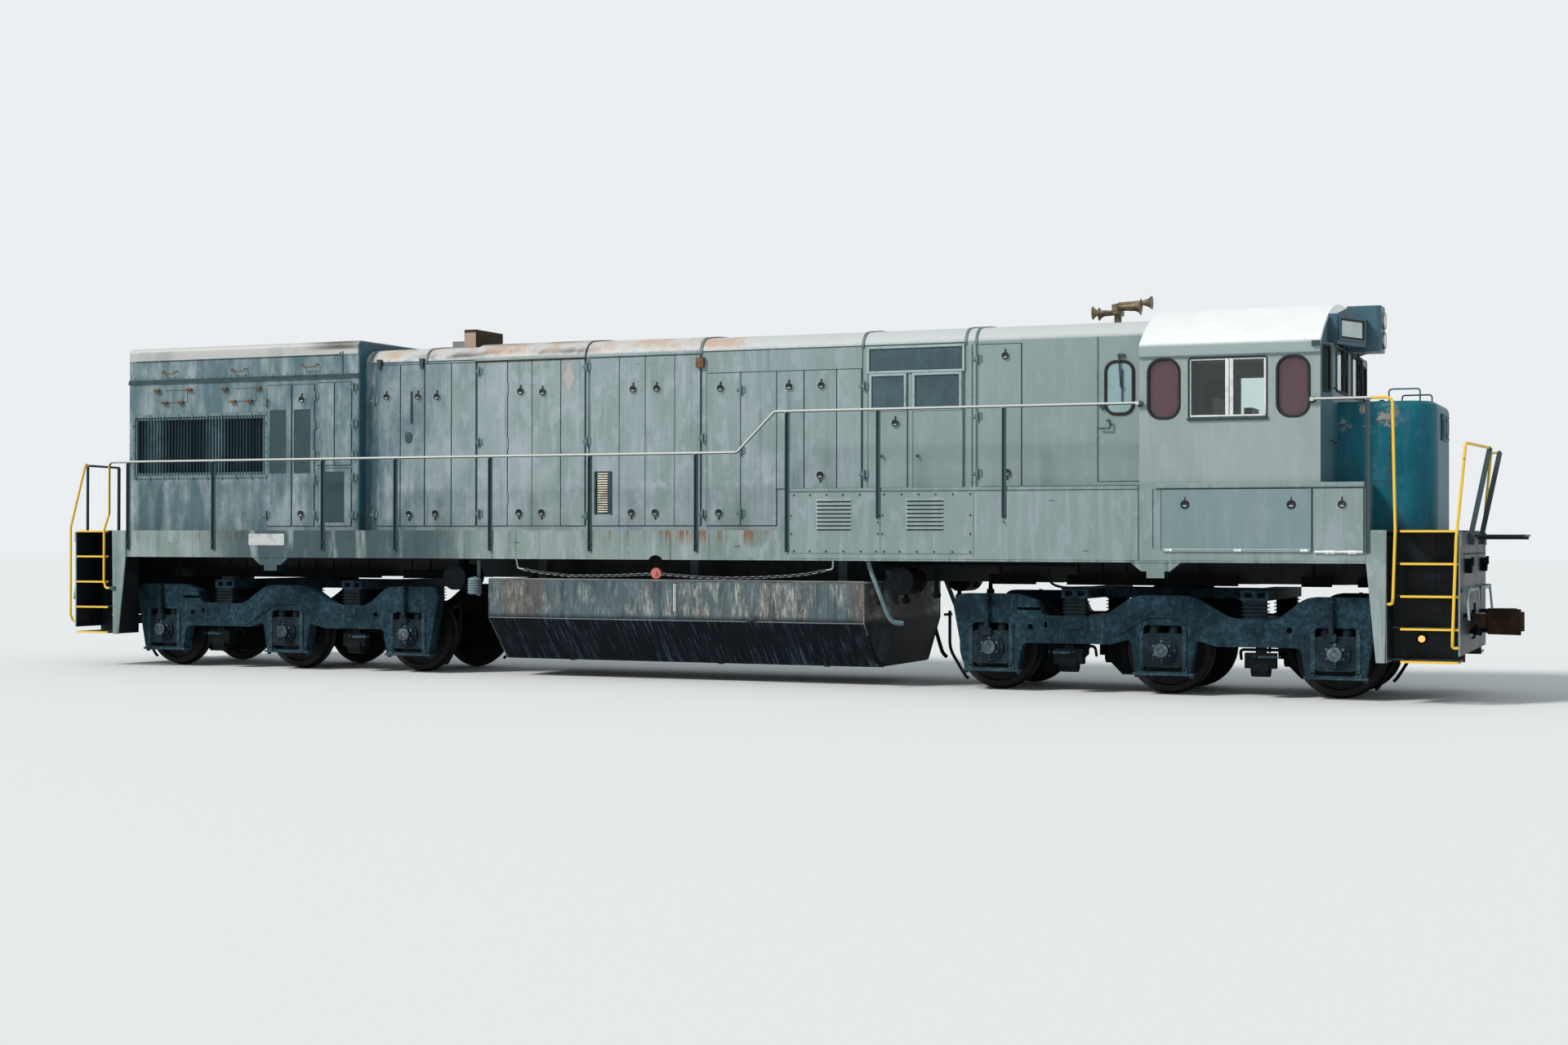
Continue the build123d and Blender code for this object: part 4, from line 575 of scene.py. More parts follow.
def slab(mesh, x, y, z):
    """A square-edged bar or plate between two limits on each axis."""
    x, y, z = sorted(x), sorted(y), sorted(z)
    corners = [mesh.verts.new((a, b, c)) for a in x for b in y for c in z]
    for face in ((0, 1, 3, 2), (4, 6, 7, 5), (0, 4, 5, 1), (2, 3, 7, 6), (0, 2, 6, 4), (1, 5, 7, 3)):
        mesh.faces.new([corners[number] for number in face])


def bent(route, bend, steps=5):
    """A route with its corners rounded off, starting the bend that far from each."""
    route = [Vector(point) for point in route]
    eased = [route[0]]
    for before, corner, after in zip(route, route[1:], route[2:]):
        reach_in = min(bend, (before - corner).length * 0.49)
        reach_out = min(bend, (after - corner).length * 0.49)
        start = corner + (before - corner).normalized() * reach_in
        end = corner + (after - corner).normalized() * reach_out
        for step in range(steps + 1):
            share = step / steps
            eased.append(start.lerp(corner, share).lerp(corner.lerp(end, share), share))
    return eased + [route[-1]]


def tube(mesh, route, radius, sides=8):
    """A round bar or pipe along a route."""
    route = [Vector(point) for point in route]
    way, across, over = square_to(route[1] - route[0])
    rings = []
    for before, point, after in zip(route[:1] + route, route, route[1:] + route[-1:]):
        new_way = (after - before).normalized()
        turn = way.rotation_difference(new_way)
        way, across, over = new_way, turn @ across, turn @ over
        rings.append(ring(mesh, point, across, over, radius, sides))
    closed(mesh, rings)
    remember(mesh, rings, lambda flip: tube(mesh, [flip * point for point in route], radius, sides))


def prism(mesh, outline, push):
    """A flat outline pushed out by a vector."""
    closed(mesh, [[mesh.verts.new(Vector(point) + far) for point in outline]
                  for far in (Vector(), Vector(push))])


def piece(name, mesh, material, body="carbody", bevel=0.0):
    """A finished piece: its mesh, shading, material, material slot and CAD body."""
    bmesh.ops.recalc_face_normals(mesh, faces=mesh.faces)
    for face in mesh.faces:
        face.smooth = True
    for edge in mesh.edges:
        edge.smooth = len(edge.link_faces) == 2 and edge.calc_face_angle(0) < SMOOTH_UNDER
    data = bpy.data.meshes.new(name)
    mesh.to_mesh(data)
    mesh.free()
    data.materials.append(material)
    made = bpy.data.objects.new(name, data)
    scene.collection.objects.link(made)
    if bevel:
        rounding = made.modifiers.new("edges", "BEVEL")
        rounding.width, rounding.segments, rounding.limit_method = bevel, 2, "ANGLE"
    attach(made, body)


def iron_paint(name, tone, worn, size=9.0, roughness=0.5, metallic=0.0):
    """Dark or pale paint on small ironwork, worn through in places."""
    return patchy(name, tone, worn, (size, 0.48, 0.66, 15.0), roughness, metallic, 0.3, 0.01)


HOOD_FACE, RADIATOR_FACE, LEAF = 1.02, 1.18, 0.012
fitting_grey = iron_paint("fitting_grey", (0.13, 0.19, 0.2), (0.07, 0.1, 0.105))
latch_black = iron_paint("latch_black", (0.01, 0.012, 0.013), (0.035, 0.04, 0.04))
ring_pale = iron_paint("ring_pale", (0.5, 0.54, 0.54), (0.3, 0.34, 0.34))
rod_white = iron_paint("rod_white", (0.78, 0.8, 0.78), (0.55, 0.57, 0.55), 5.0)
gap_dark = iron_paint("gap_dark", (0.03, 0.06, 0.068), (0.016, 0.028, 0.03))
rusty_iron = iron_paint("rusty_iron", (0.13, 0.065, 0.035), (0.26, 0.15, 0.09), roughness=0.8)
pale_frame = iron_paint("pale_frame", (0.33, 0.41, 0.41), (0.24, 0.3, 0.3))
SMALL_SCREW = ((0, 0.011), (0.007, 0.011), (0.01, 0.006))
LATCH_RIM = ((-0.002, 0.056), (0.01, 0.056), (0.012, 0.053), (0.012, 0.04))
LATCH_CUP = ((-0.002, 0.05), (0.018, 0.05), (0.024, 0.046), (0.018, 0.036), (0.016, 0.001))
LATCH_BAR = ((-0.026, 0.01), (0.026, 0.01), (0.016, 0.023), (-0.016, 0.023))


def latches(cups_name, rings_name, face, places, body="carbody", hand="both", more=()):
    """Round latches: a thin pale rim, a black cup, the handle's half-round bar and its tail up or down."""
    cups, rings = meshes(2)
    for x, z, tail, out in [(*place, face) for place in places] + list(more):
        stud(rings, x, out, z - 0.003, LATCH_RIM, 20)
        stud(cups, x, out, z, LATCH_CUP, 20)
        slab(cups, about(x, 0.006), (out, out + 0.016), (z + tail * 0.045, z + tail * 0.088))
        prism(rings, [(x + across, out + 0.014, z - down) for across, down in LATCH_BAR], (0, 0.01, 0))
    mirrored(cups, rings, hand=hand)
    piece(cups_name, cups, latch_black, body)
    piece(rings_name, rings, ring_pale, body)


# along the hood, height, which way the tail points
HOOD_LATCHES = (
    (-4.661, 3.814, 1), (-4.15, 3.808, 1), (-3.848, 3.801, 1), (-4.29, 2.186, -1), (-3.869, 2.196, -1),
    (-0.831, 3.825, 1), (-0.483, 3.827, 1), (-0.852, 2.197, -1), (-0.503, 2.195, -1), (0.438, 3.806, 1),
    (1.404, 3.803, 1), (1.848, 3.805, 1), (0.417, 2.192, -1), (1.834, 2.665, -1), (2.849, 3.305, 1),
    (4.284, 4.105, 1), (4.309, 2.67, -1))
ENGINE_DOOR_LATCHES = {"rear": ((-2.531, 3.84, 1), (-2.552, 2.202, -1)),
                       "front": ((-2.192, 3.821, 1), (-2.204, 2.201, -1))}
radiator_latches = [(x, z, tail, RADIATOR_FACE + LEAF) for x, z, tail in ((-5.96, 3.8, 1),
                                                                          (-5.971, 2.195, -1))]
latches("hood_latches", "hood_latch_rings", HOOD_FACE + LEAF, HOOD_LATCHES, more=radiator_latches)
for hand in ("right", "left"):
    for which, places in ENGINE_DOOR_LATCHES.items():
        door = f"engine_door_{hand}_{which}"
        latches(f"{door}_latches", f"{door}_rings", HOOD_FACE + LEAF, places, door, hand)

# how far out the sheet is, then along the hood and heights
HINGES = (
    (HOOD_FACE, {-4.866: (3.772, 2.18), -3.185: (4.131, 3.161, 2.192), -1.52: (4.144, 3.15, 2.156),
                 0.185: (3.167, 2.182), 0.73: (3.779, 2.994, 2.186), 2.43: (3.785, 2.671),
                 3.926: (4.08, 3.372, 2.669)}),
    (RADIATOR_FACE, {-5.735: (3.847, 3.444, 3.026, 2.689, 2.18), -6.56: (3.77, 2.183),
                     -5.1: (3.959, 3.449, 3.018, 2.699, 2.172)}))
HINGE_BARREL = ((0, 0.01), (0.006, 0.017), (0.118, 0.017), (0.124, 0.01))
hinges = bmesh.new()
for face, places in HINGES:
    for x, heights in places.items():
        for z in heights:
            turned(hinges, (x, face + 0.03, z - 0.062), UP, HINGE_BARREL, 10)
            slab(hinges, (x - 0.01, x + 0.058), (face - 0.002, face + 0.022), about(z, 0.045))
            slab(hinges, (x - 0.07, x + 0.004), (face + 0.004, face + 0.02), about(z, 0.018))
mirrored(hinges)
piece("hood_hinges", hinges, fitting_grey, bevel=0.003)

# door leaves: bottom and top, then the rear and front edges of each; last the radiator section's, one by one
LEAVES = (
    (2.03, 4.25, ((-4.83, -4.45), (-4.435, -4.06), (-4.04, -3.63), (-3.615, -3.24), (-3.205, -2.745),
                  (-1.912, -1.56), (-1.47, -1.045), (-1.035, -0.66), (-0.65, -0.23), (-0.22, 0.14))),
    (2.03, 4.0, ((0.24, 0.715), (0.727, 1.22))), (2.5, 4.0, ((1.232, 1.6), (1.614, 2.05), (2.062, 2.385))),
    (2.5, 3.95, ((2.485, 3.0), (3.085, 3.73))), (2.5, 4.25, ((3.935, 4.48),)))
RADIATOR_LEAVES = ((2.029, 4.01, ((-6.553, -6.15), (-6.122, -5.764))),
                   (2.879, 4.025, ((-5.709, -5.43), (-5.409, -5.145))), (2.028, 2.829, ((-5.677, -5.145),)))
GAP, SEEN_GAP = 0.011, 0.0005


def border(mesh, x, y, z, wide, clear=0.0):
    """Four bars round a rectangle, the uprights over the whole height."""
    for limits in ((x[0] - wide, x[0] - clear), (x[1] + clear, x[1] + wide)):
        slab(mesh, limits, y, (z[0] - wide, z[1] + wide))
    for limits in ((z[0] - wide, z[0] - clear), (z[1] + clear, z[1] + wide)):
        slab(mesh, x, y, limits)


gaps = bmesh.new()
for face, rows in ((HOOD_FACE, LEAVES), (RADIATOR_FACE, RADIATOR_LEAVES)):
    for bottom, top, edges in rows:
        for limits in edges:
            border(gaps, limits, (face - 0.001, face + 0.005), (bottom, top), GAP, SEEN_GAP)
mirrored(gaps)
piece("door_gaps", gaps, gap_dark)


def bow(start, middle, end, steps=8):
    """Points on the arc through three points of a section."""
    (ax, ay), (bx, by), (cx, cy) = start, middle, end
    a, b, c = ax * ax + ay * ay, bx * bx + by * by, cx * cx + cy * cy
    twice = 2 * (ax * (by - cy) + bx * (cy - ay) + cx * (ay - by))
    ux = (a * (by - cy) + b * (cy - ay) + c * (ay - by)) / twice
    uy = (a * (cx - bx) + b * (ax - cx) + c * (bx - ax)) / twice
    first, last = math.atan2(ay - uy, ax - ux), math.atan2(cy - uy, cx - ux)
    radius = math.hypot(ax - ux, ay - uy)
    swing = (last - first + math.pi) % math.tau - math.pi
    return [(ux + radius * math.cos(first + swing * n / steps),
             uy + radius * math.sin(first + swing * n / steps))
            for n in range(steps + 1)]


def hood_roof(out, foot):
    """The hood roof's section from one side to the other, some way proud of the sheet, down to a height."""
    half, eave, (shoulder_y, shoulder_z), crown = HOOD_FACE + out, 4.3, (0.8, 4.48 + out), 4.54 + out
    bend = (HOOD_FACE + 0.8) / 2 + 0.02 + out * 0.7, eave + 0.18 * 0.72 + out * 0.7
    left = [(half, foot)] + bow((half, eave), bend, (shoulder_y, shoulder_z))
    over = bow((shoulder_y, shoulder_z), (0, crown), (-shoulder_y, shoulder_z), 10)
    return left + over[1:] + [(-y, z) for y, z in reversed(left)][1:]


def roof_shell(mesh, rear, front, inner, outer):
    """A sheet or strap over the roof between two sections."""
    rings = [[mesh.verts.new((x, y, z)) for y, z in outline]
             for x, outline in ((rear, inner), (rear, outer), (front, outer), (front, inner))]
    for near, far in zip(rings, rings[1:] + rings[:1]):
        for number in range(len(near) - 1):
            mesh.faces.new((near[number], near[number + 1], far[number + 1], far[number]))
    mesh.faces.new([points[0] for points in rings])
    mesh.faces.new([points[-1] for points in reversed(rings)])


straps, lids, lips, hatch_lips, trim = meshes(5)
for x in (-4.924, -4.031, 0.155, 2.41, 3.77, 3.905):
    roof_shell(straps, *about(x, 0.016), hood_roof(-0.004, 4.262), hood_roof(0.013, 4.262))
for rear, front, lift in ((-3.235, -1.545, 0.03), (-1.525, 0.135, 0.016)):
    roof_shell(lids, rear, front, hood_roof(-0.004, 4.292), hood_roof(lift, 4.272))
for limits in ((-4.92, -4.04), (-4.02, -3.245), (0.17, 2.395), (2.425, 3.755)):
    slab(lips, limits, (1.018, 1.0235), (4.284, 4.294))
for x in (2.404, 3.757, 3.852, 3.905, 0.16, -1.5, -1.545, -3.225):
    slab(lips, about(x, 0.006), (1.018, 1.0225), (2.5 if x > 1 else 2.03, 4.262))
prism(hatch_lips, [(-3.24, 1.024, 4.29), (-3.24, 1.046, 4.28), (-3.24, 1.046, 4.254), (-3.24, 1.024, 4.254)],
      (1.7, 0, 0))
for x, z in (((2.498, 3.729), (3.965, 4.245)), ((2.531, 2.962), (3.49, 3.9)), ((3.105, 3.688), (3.49, 3.9))):
    border(trim, x, (HOOD_FACE + 0.006, HOOD_FACE + 0.024), z, 0.03)
mirrored(lips, hatch_lips, trim)
piece("roof_joint_straps", straps, fitting_grey)
piece("roof_hatch_lids", lids, hood_grey)
piece("roof_lips", lips, gap_dark)
scorched = iron_paint("scorched", (0.04, 0.022, 0.01), (0.09, 0.045, 0.018), 6.0, 0.8)
piece("hatch_lips", hatch_lips, scorched)
piece("screen_trim", trim, pale_frame, bevel=0.003)

bits, vents, rusty, bolts = meshes(4)
# lifting lugs, the oil filler's oval, a long handle and two small knobs
for x, z in ((-4.783, 4.29), (-4.092, 4.285)):
    outline = ((-0.035, 0.05), (0.035, 0.05), (0.028, -0.09), (-0.012, -0.09))
    prism(bits, [(x + along, 1.015, z + over) for along, over in outline], (0, 0.045, 0))
slab(bits, (-4.268, -4.25), (1.03, 1.052), (3.44, 3.885))
stud(bits, -4.305, 1.03, 3.262, ((0, 0.062), (0.01, 0.062), (0.012, 0.05)), 18)
stud(bits, -4.305, 1.03, 3.222, ((0, 0.055), (0.008, 0.055), (0.01, 0.045)), 18)
for x, z in ((2.675, 2.893), (3.153, 2.89)):
    stud(bits, x, 1.03, z, ((0, 0.01), (0.03, 0.01), (0.032, 0.02), (0.046, 0.02)), 10)
# the louvred vent low in the side, its blades painted pale cream as a painted highlight of their sunlit tops
# over a dark back plate that stands for the shade between them, and the scorched box by the roof
for blade in range(17):
    low = 2.205 + blade * 0.0315
    outline = ((1.03, 0.018), (1.05, 0.004), (1.05, 0), (1.03, 0))
    prism(vents, [(-1.352, y, low + over) for y, over in outline], (0.148, 0, 0))
for x, y in (((-1.405, -1.151), (1.028, 1.036)), ((-1.405, -1.378), (1.03, 1.052)),
             ((-1.178, -1.151), (1.03, 1.052))):
    slab(bits, x, y, (2.18, 2.748))
slab(rusty, (0.098, 0.205), (1.018, 1.075), (4.085, 4.215))
for z in (4.16, 3.635, 3.09, 2.563):
    stud(bolts, 3.851, 1.019, z)
for x in (-2.46, -2.28, -2.12, -0.78, -0.56, -4.62):
    for along, z in ((-0.03, 4.16), (0.03, 4.16), (-0.03, 3.93), (0.03, 3.93)):
        stud(bolts, x + along, 1.03, z, ((0, 0.006), (0.006, 0.006)))
mirrored(bits, vents, rusty, bolts)
piece("hood_small_fittings", bits, gap_dark, bevel=0.002)
# pale cream vent blades: painted highlight
vent_highlight_cream = iron_paint("vent_highlight_cream", (0.88, 0.8, 0.64), (0.5, 0.36, 0.22), 14.0, 0.7)
piece("side_vents", vents, vent_highlight_cream)
piece("hood_boxes", rusty, rusty_iron)
piece("hood_bolts", bolts, fitting_grey)

# Radiator section: a drip rail under the roof with a row of screws, hinged access plates with brown lugs,
# lifting handles on the top panel, and a flanged frame bolted round the air intake.
ledge, lugs, screws, frame_bars, fins = meshes(5)
face = RADIATOR_FACE
slab(ledge, (-9.004, -5.016), (face - 0.002, face + 0.018), (4.086, 4.112))
slab(ledge, (-9.004, -5.016), (face - 0.002, face + 0.006), (4.112, 4.15))
slab(ledge, (-5.3, -5.283), (face, face + 0.006), (4.15, 4.46))
for rear, front, bottom, top in ((-8.438, -7.952, 3.812, 3.988), (-7.243, -6.752, 3.806, 3.986)):
    depth = face, face + 0.004
    slab(ledge, (rear, front), depth, (bottom - 0.006, bottom + 0.002))
    slab(ledge, about(front, 0.004), depth, (bottom, top))
    slab(ledge, (rear + 0.1, front), depth, (top - 0.002, top + 0.004))
    for x, z in ((rear - 0.045, top), (front + 0.045, top), (rear + 0.1, bottom - 0.002),
                 (front - 0.105, bottom - 0.002)):
        slab(lugs, about(x, 0.045), (face, face + 0.05), about(z, 0.018))
        stud(lugs, x, face + 0.045, z)
for rear, front, z in ((-8.361, -8.127, 4.262), (-7.153, -6.918, 4.262), (-5.946, -5.695, 4.29)):
    start = [(rear, face, z), (rear, face + 0.06, z), (rear, face + 0.06, z - 0.035)]
    tube(lugs, bent(start + [(front, y, height) for _, y, height in reversed(start)], 0.02), 0.008)
for number in range(32):
    stud(screws, -8.9 + number * 3.78 / 31, face, 4.176, SMALL_SCREW, 8)
rear, front, bottom, top = -8.884, -6.59, 2.757, 3.6
border(frame_bars, (rear, front), (face - 0.001, face + 0.016), (bottom, top), 0.045)
for number in range(10):
    for z in (top + 0.024, bottom - 0.024):
        slab(screws, about(-8.872 + number * 0.255, 0.014), (face, face + 0.026), (z - 0.03, z + 0.018))
for number in range(4):
    for x in (rear - 0.024, front + 0.024):
        stud(screws, x, face + 0.014, bottom + 0.13 + number * 0.2)
slab(fins, (-8.86, -6.615), (1.084, 1.092), (2.78, 3.58))
for number in range(76):
    slab(fins, about(-8.85 + number * 0.0298, 0.004), (1.092, 1.104), (2.79, 3.57))
mirrored(ledge, lugs, screws, frame_bars, fins)
piece("radiator_fins", fins, screen_dark)
piece("radiator_ledges", ledge, gap_dark)
piece("radiator_lugs", lugs, rusty_iron, bevel=0.003)
piece("radiator_screws", screws, fitting_grey)
piece("intake_frames", frame_bars, fitting_grey, bevel=0.004)

# Cab windows: panes set in black rubber strips, a pair of sliding sashes in bright aluminium on each side,
# and brown sun blinds drawn down behind the end panes.
FORWARD, BACK, DOWN = (1, 0, 0), (-1, 0, 0), (0, 0, -1)
CAB_FACE, CAB_NOSE_FACE = 1.5, 8.26
rubber = iron_paint("window_rubber", (0.01, 0.011, 0.011), (0.022, 0.024, 0.024), roughness=0.65)
aluminium = iron_paint("sash_aluminium", (0.7, 0.71, 0.69), (0.48, 0.49, 0.47), roughness=0.35, metallic=0.3)


def round_corners(half_u, half_v, corner, grown=0.0, steps=7):
    """Points round a rectangle with rounded corners, grown outward by some amount."""
    around = []
    for quarter, (side_u, side_v) in enumerate(((1, 1), (-1, 1), (-1, -1), (1, -1))):
        for step in range(steps + 1):
            turn = math.radians(90 * quarter + 90 * step / steps)
            around.append((side_u * (half_u - corner) + (corner + grown) * math.cos(turn),
                           side_v * (half_v - corner) + (corner + grown) * math.sin(turn)))
    return around


def gasket(mesh, middle, along, out, sizes, section):
    """A strip round an upright opening: its section tells how far outside the edge and out of the wall."""
    middle, along, over, out = Vector(middle), Vector(along), Vector(UP), Vector(out)
    rings = [[mesh.verts.new(middle + along * u + over * v + out * proud)
              for u, v in round_corners(*sizes, grown)] for grown, proud in section]
    skin(mesh, rings + rings[:1])


def panel(mesh, middle, along, out, sizes, thick):
    """A thin upright plate with rounded corners."""
    middle, along, over = Vector(middle), Vector(along), Vector(UP)
    prism(mesh, [middle + along * u + over * v for u, v in round_corners(*sizes)], Vector(out) * thick)


STRIP = ((-0.006, -0.02), (-0.006, 0.006), (0.002, 0.014), (0.018, 0.014), (0.026, 0.006), (0.026, -0.004))
THIN_STRIP = ((-0.004, -0.02), (-0.004, 0.008), (0.012, 0.008), (0.012, -0.004))
strips, blinds, sashes, ledges, door_strip = meshes(5)
gasket(strips, (7.103, CAB_FACE, 3.617), FORWARD, OUT, (0.448, 0.343, 0.03), THIN_STRIP)
for low, high, sill, head in ((6.182, 6.53, 3.281, 3.95), (7.682, 8.023, 3.278, 3.945)):
    x, z, half_x, half_z = (low + high) / 2, (sill + head) / 2, (high - low) / 2, (head - sill) / 2
    gasket(strips, (x, CAB_FACE, z), FORWARD, OUT, (half_x, half_z, 0.14), STRIP)
    panel(blinds, (x, CAB_FACE - 0.034, z), FORWARD, (0, -1, 0), (half_x - 0.003, half_z - 0.003, 0.14),
          0.004)
for x, y, z in (((7.076, 7.118), (1.474, 1.503), (3.288, 3.95)), ((7.126, 7.168), (1.474, 1.503),
                                                                  (3.288, 3.95)),
                ((6.668, 7.54), (1.48, 1.51), (3.276, 3.298)), ((7.52, 7.546), (1.474, 1.496), (3.298, 3.95)),
                ((6.66, 6.676), (1.474, 1.496), (3.298, 3.95)), ((6.66, 7.546), (1.474, 1.492),
                                                                 (3.936, 3.956))):
    slab(sashes, x, y, z)
prism(ledges, [(6.635, 1.498, 3.274), (6.635, 1.535, 3.266), (6.635, 1.535, 3.246), (6.635, 1.498, 3.236)],
      (0.935, 0, 0))
mirrored(strips, blinds, sashes, ledges)
for y in (-0.6, 0.6):
    gasket(strips, (CAB_NOSE_FACE, y, 3.8375), OUT, FORWARD, (0.4, 0.2475, 0.004), STRIP)
gasket(strips, (8.21, -1.375, 3.815), Vector((0.1, 0.25, 0)).normalized(),
       Vector((0.25, -0.1, 0)).normalized(),
       (0.06, 0.25, 0.004), STRIP)
piece("window_strips", strips, rubber)
gasket(door_strip, (CAB_NOSE_FACE, 1.2225, 3.72), OUT, FORWARD, (0.1225, 0.28, 0.004), STRIP)
piece("front_door_strip", door_strip, rubber, "cab_door_front")
blind_brown, tree, shader = finish_of("blind_brown", 0.8)
weave = noise_of(tree, 150.0, 3.0)
wire(shader, lay((0.125, 0.014, 0.036), (0.185, 0.04, 0.068), weave), None, weave, 0.05)
piece("sun_blinds", blinds, blind_brown)
piece("sliding_sashes", sashes, aluminium, bevel=0.003)
piece("window_ledges", ledges, gap_dark)

# Lookout pane beside the cab door on the hood's side: grey glass in a rubber strip, with its wiper and a
# cranked hook under it, both of bent rod.
lookout, lookout_rim, wiper_bits = meshes(3)
gasket(lookout_rim, (5.708, 1.0205, 3.678), FORWARD, OUT, (0.158, 0.305, 0.11),
       ((-0.008, -0.004), (-0.008, 0.014), (0.0, 0.022), (0.02, 0.022), (0.028, 0.014), (0.028, -0.004)))
panel(lookout, (5.708, 1.018, 3.678), FORWARD, OUT, (0.152, 0.299, 0.105), 0.008)
slab(wiper_bits, (5.688, 5.775), (1.018, 1.056), (4.052, 4.082))
slab(wiper_bits, (5.726, 5.762), (1.04, 1.058), (3.672, 3.69))
tube(wiper_bits, [(5.705, 1.05, 4.062), (5.718, 1.052, 3.9), (5.73, 1.05, 3.69)], 0.01)
tube(wiper_bits, [(5.742, 1.046, 3.9), (5.744, 1.046, 3.503)], 0.008)
tube(wiper_bits, bent([(5.56, 1.018, 3.286), (5.56, 1.07, 3.286), (5.606, 1.07, 3.286), (5.606, 1.07, 3.19),
                       (5.47, 1.06, 3.19)], 0.02), 0.011)
prism(wiper_bits, [(5.455, 1.02, 3.47), (5.53, 1.02, 3.47), (5.53, 1.02, 3.44), (5.5, 1.02, 3.41)],
      (0, 0.03, 0))
mirrored(lookout_rim, lookout, wiper_bits)
glass_grey = iron_paint("glass_grey", (0.26, 0.38, 0.4), (0.22, 0.33, 0.35), 2.0, 0.12)
piece("lookout_panes", lookout, glass_grey)
piece("lookout_strips", lookout_rim, rubber)
piece("lookout_fittings", wiper_bits, gap_dark)

# Vestibule sheet: the hood's side stands a little proud where it joins the cab, folded from the same steel,
# with a seam at its foot.
vestibule, seams = meshes(2)
slab(vestibule, (5.43, 5.446), (1.016, 1.032), (2.56, 4.3))
slab(vestibule, (5.43, 6.062), (1.016, 1.026), (2.548, 2.564))
slab(seams, (3.995, 6.06), (1.016, 1.05), (2.486, 2.506))
mirrored(vestibule, seams)
piece("vestibule_edges", vestibule, fitting_grey, bevel=0.003)
piece("cab_seams", seams, gap_dark)

# Cab fittings: windshield wipers, a conduit and a hand hold on the front, brackets for the side handrail,
# and drip rails folded from thin sheet along the roof's eaves.
front_bits, roof_bits = meshes(2)
for x, way in ((6.075, BACK), (8.075, FORWARD)):
    stud(front_bits, x, 1.498, 3.446, ((0, 0.038), (0.01, 0.038), (0.012, 0.022), (0.04, 0.02)), 14)
    turned(front_bits, (x, 1.5395, 3.446), way, ((-0.05, 0.023), (0.03, 0.023), (0.034, 0.018)))
slab(front_bits, (8.07, 8.158), (1.5, 1.56), (4.062, 4.122))
slab(roof_bits, (6.066, 8.158), (1.5205, 1.531), (3.986, 3.999))
mirrored(front_bits, roof_bits)
for y in (-0.6, 0.6):
    turned(front_bits, (8.258, y, 4.106), FORWARD, ((0, 0.026), (0.03, 0.026), (0.036, 0.018)))
    tube(front_bits, [(8.292, y, 4.104), (8.3, y + 0.03, 3.96), (8.296, y + 0.07, 3.8)], 0.008)
    tube(front_bits, [(8.286, y + 0.05, 4.0), (8.286, y + 0.085, 3.64)], 0.007)
tube(front_bits, bent([(8.246, -1.3, 2.988), (8.3, -1.33, 2.988), (8.3, -1.15, 2.968), (8.262, -1.13, 2.968)],
                      0.02), 0.01)
tube(front_bits, bent([(8.262, -1.18, 4.096), (8.29, -1.18, 4.08), (8.29, -1.18, 3.6), (8.262, -1.18, 3.59)],
                      0.02), 0.011)
piece("cab_fittings", front_bits, gap_dark, bevel=0.003)
piece("drip_rails", roof_bits, fitting_grey)

# Brow: dark blue sheet, the blue deepened as painted shade, and pale on its upward-facing faces as a painted
# highlight, with blank glass number plates held in black frames.
brow_navy, tree, shader = finish_of("brow_navy", 0.4)
coat, rough, height = weathered(tree, (0.02, 0.075, 0.11), (0.035, 0.105, 0.15), 0.08, 0.6, 0.4)
# upward-facing faces laid pale: painted highlight
wire(shader, lay(coat, (0.42, 0.47, 0.48), ramp(axes_of(tree, "Normal")["Z"], 0.1, 0.35)), rough, height)
dress(brow_navy, "brow")
plate_white = patchy("plate_white", (0.62, 0.68, 0.66), (0.48, 0.55, 0.54), (7.0, 0.4, 0.7, 4.0), 0.3)
plates, plate_rims = meshes(2)
along, out = Vector((0.235, -0.58, 0)).normalized(), Vector((0.58, 0.235, 0)).normalized()
middle = Vector((8.3775, 0.64, 4.315))
panel(plates, middle + out * 0.001, along, out, (0.232, 0.1, 0.012), 0.008)
gasket(plate_rims, middle + out * 0.004, along, out, (0.25, 0.108, 0.01),
       ((-0.016, -0.004), (-0.016, 0.01), (0.018, 0.014), (0.018, -0.004)))
mirrored(plates, plate_rims)
piece("blank_number_plates", plates, plate_white)
piece("number_plate_rims", plate_rims, rubber)


# Lamps: two sealed-beam headlights at each end behind clear lenses, and a class lamp on either side, its
# glass pressed with fine grooves and held by a rolled rim.
def lens(mesh, start, way, radius):
    """A lens: a shallow dome with a rolled edge and raised rings."""
    dome = ((0, 0.99), (0.004, 0.99), (0.006, 0.92), (0.011, 0.72), (0.01, 0.68), (0.015, 0.4),
            (0.0145, 0.36),
            (0.017, 0.1))
    turned(mesh, start, way, [(along, radius * share) for along, share in dome], 28)


def grooved(name, tone, edge, roughness, axis, pitch, **more):
    """Pressed glass, with grooves across one axis."""
    material, tree, shader = finish_of(name, roughness, **more)
    grooves = sums("PINGPONG", axes_of(tree)[axis], pitch)
    wire(shader, lay(tone, edge, ramp(grooves, 0.001, pitch - 0.001)), None, grooves, 0.2)
    return material


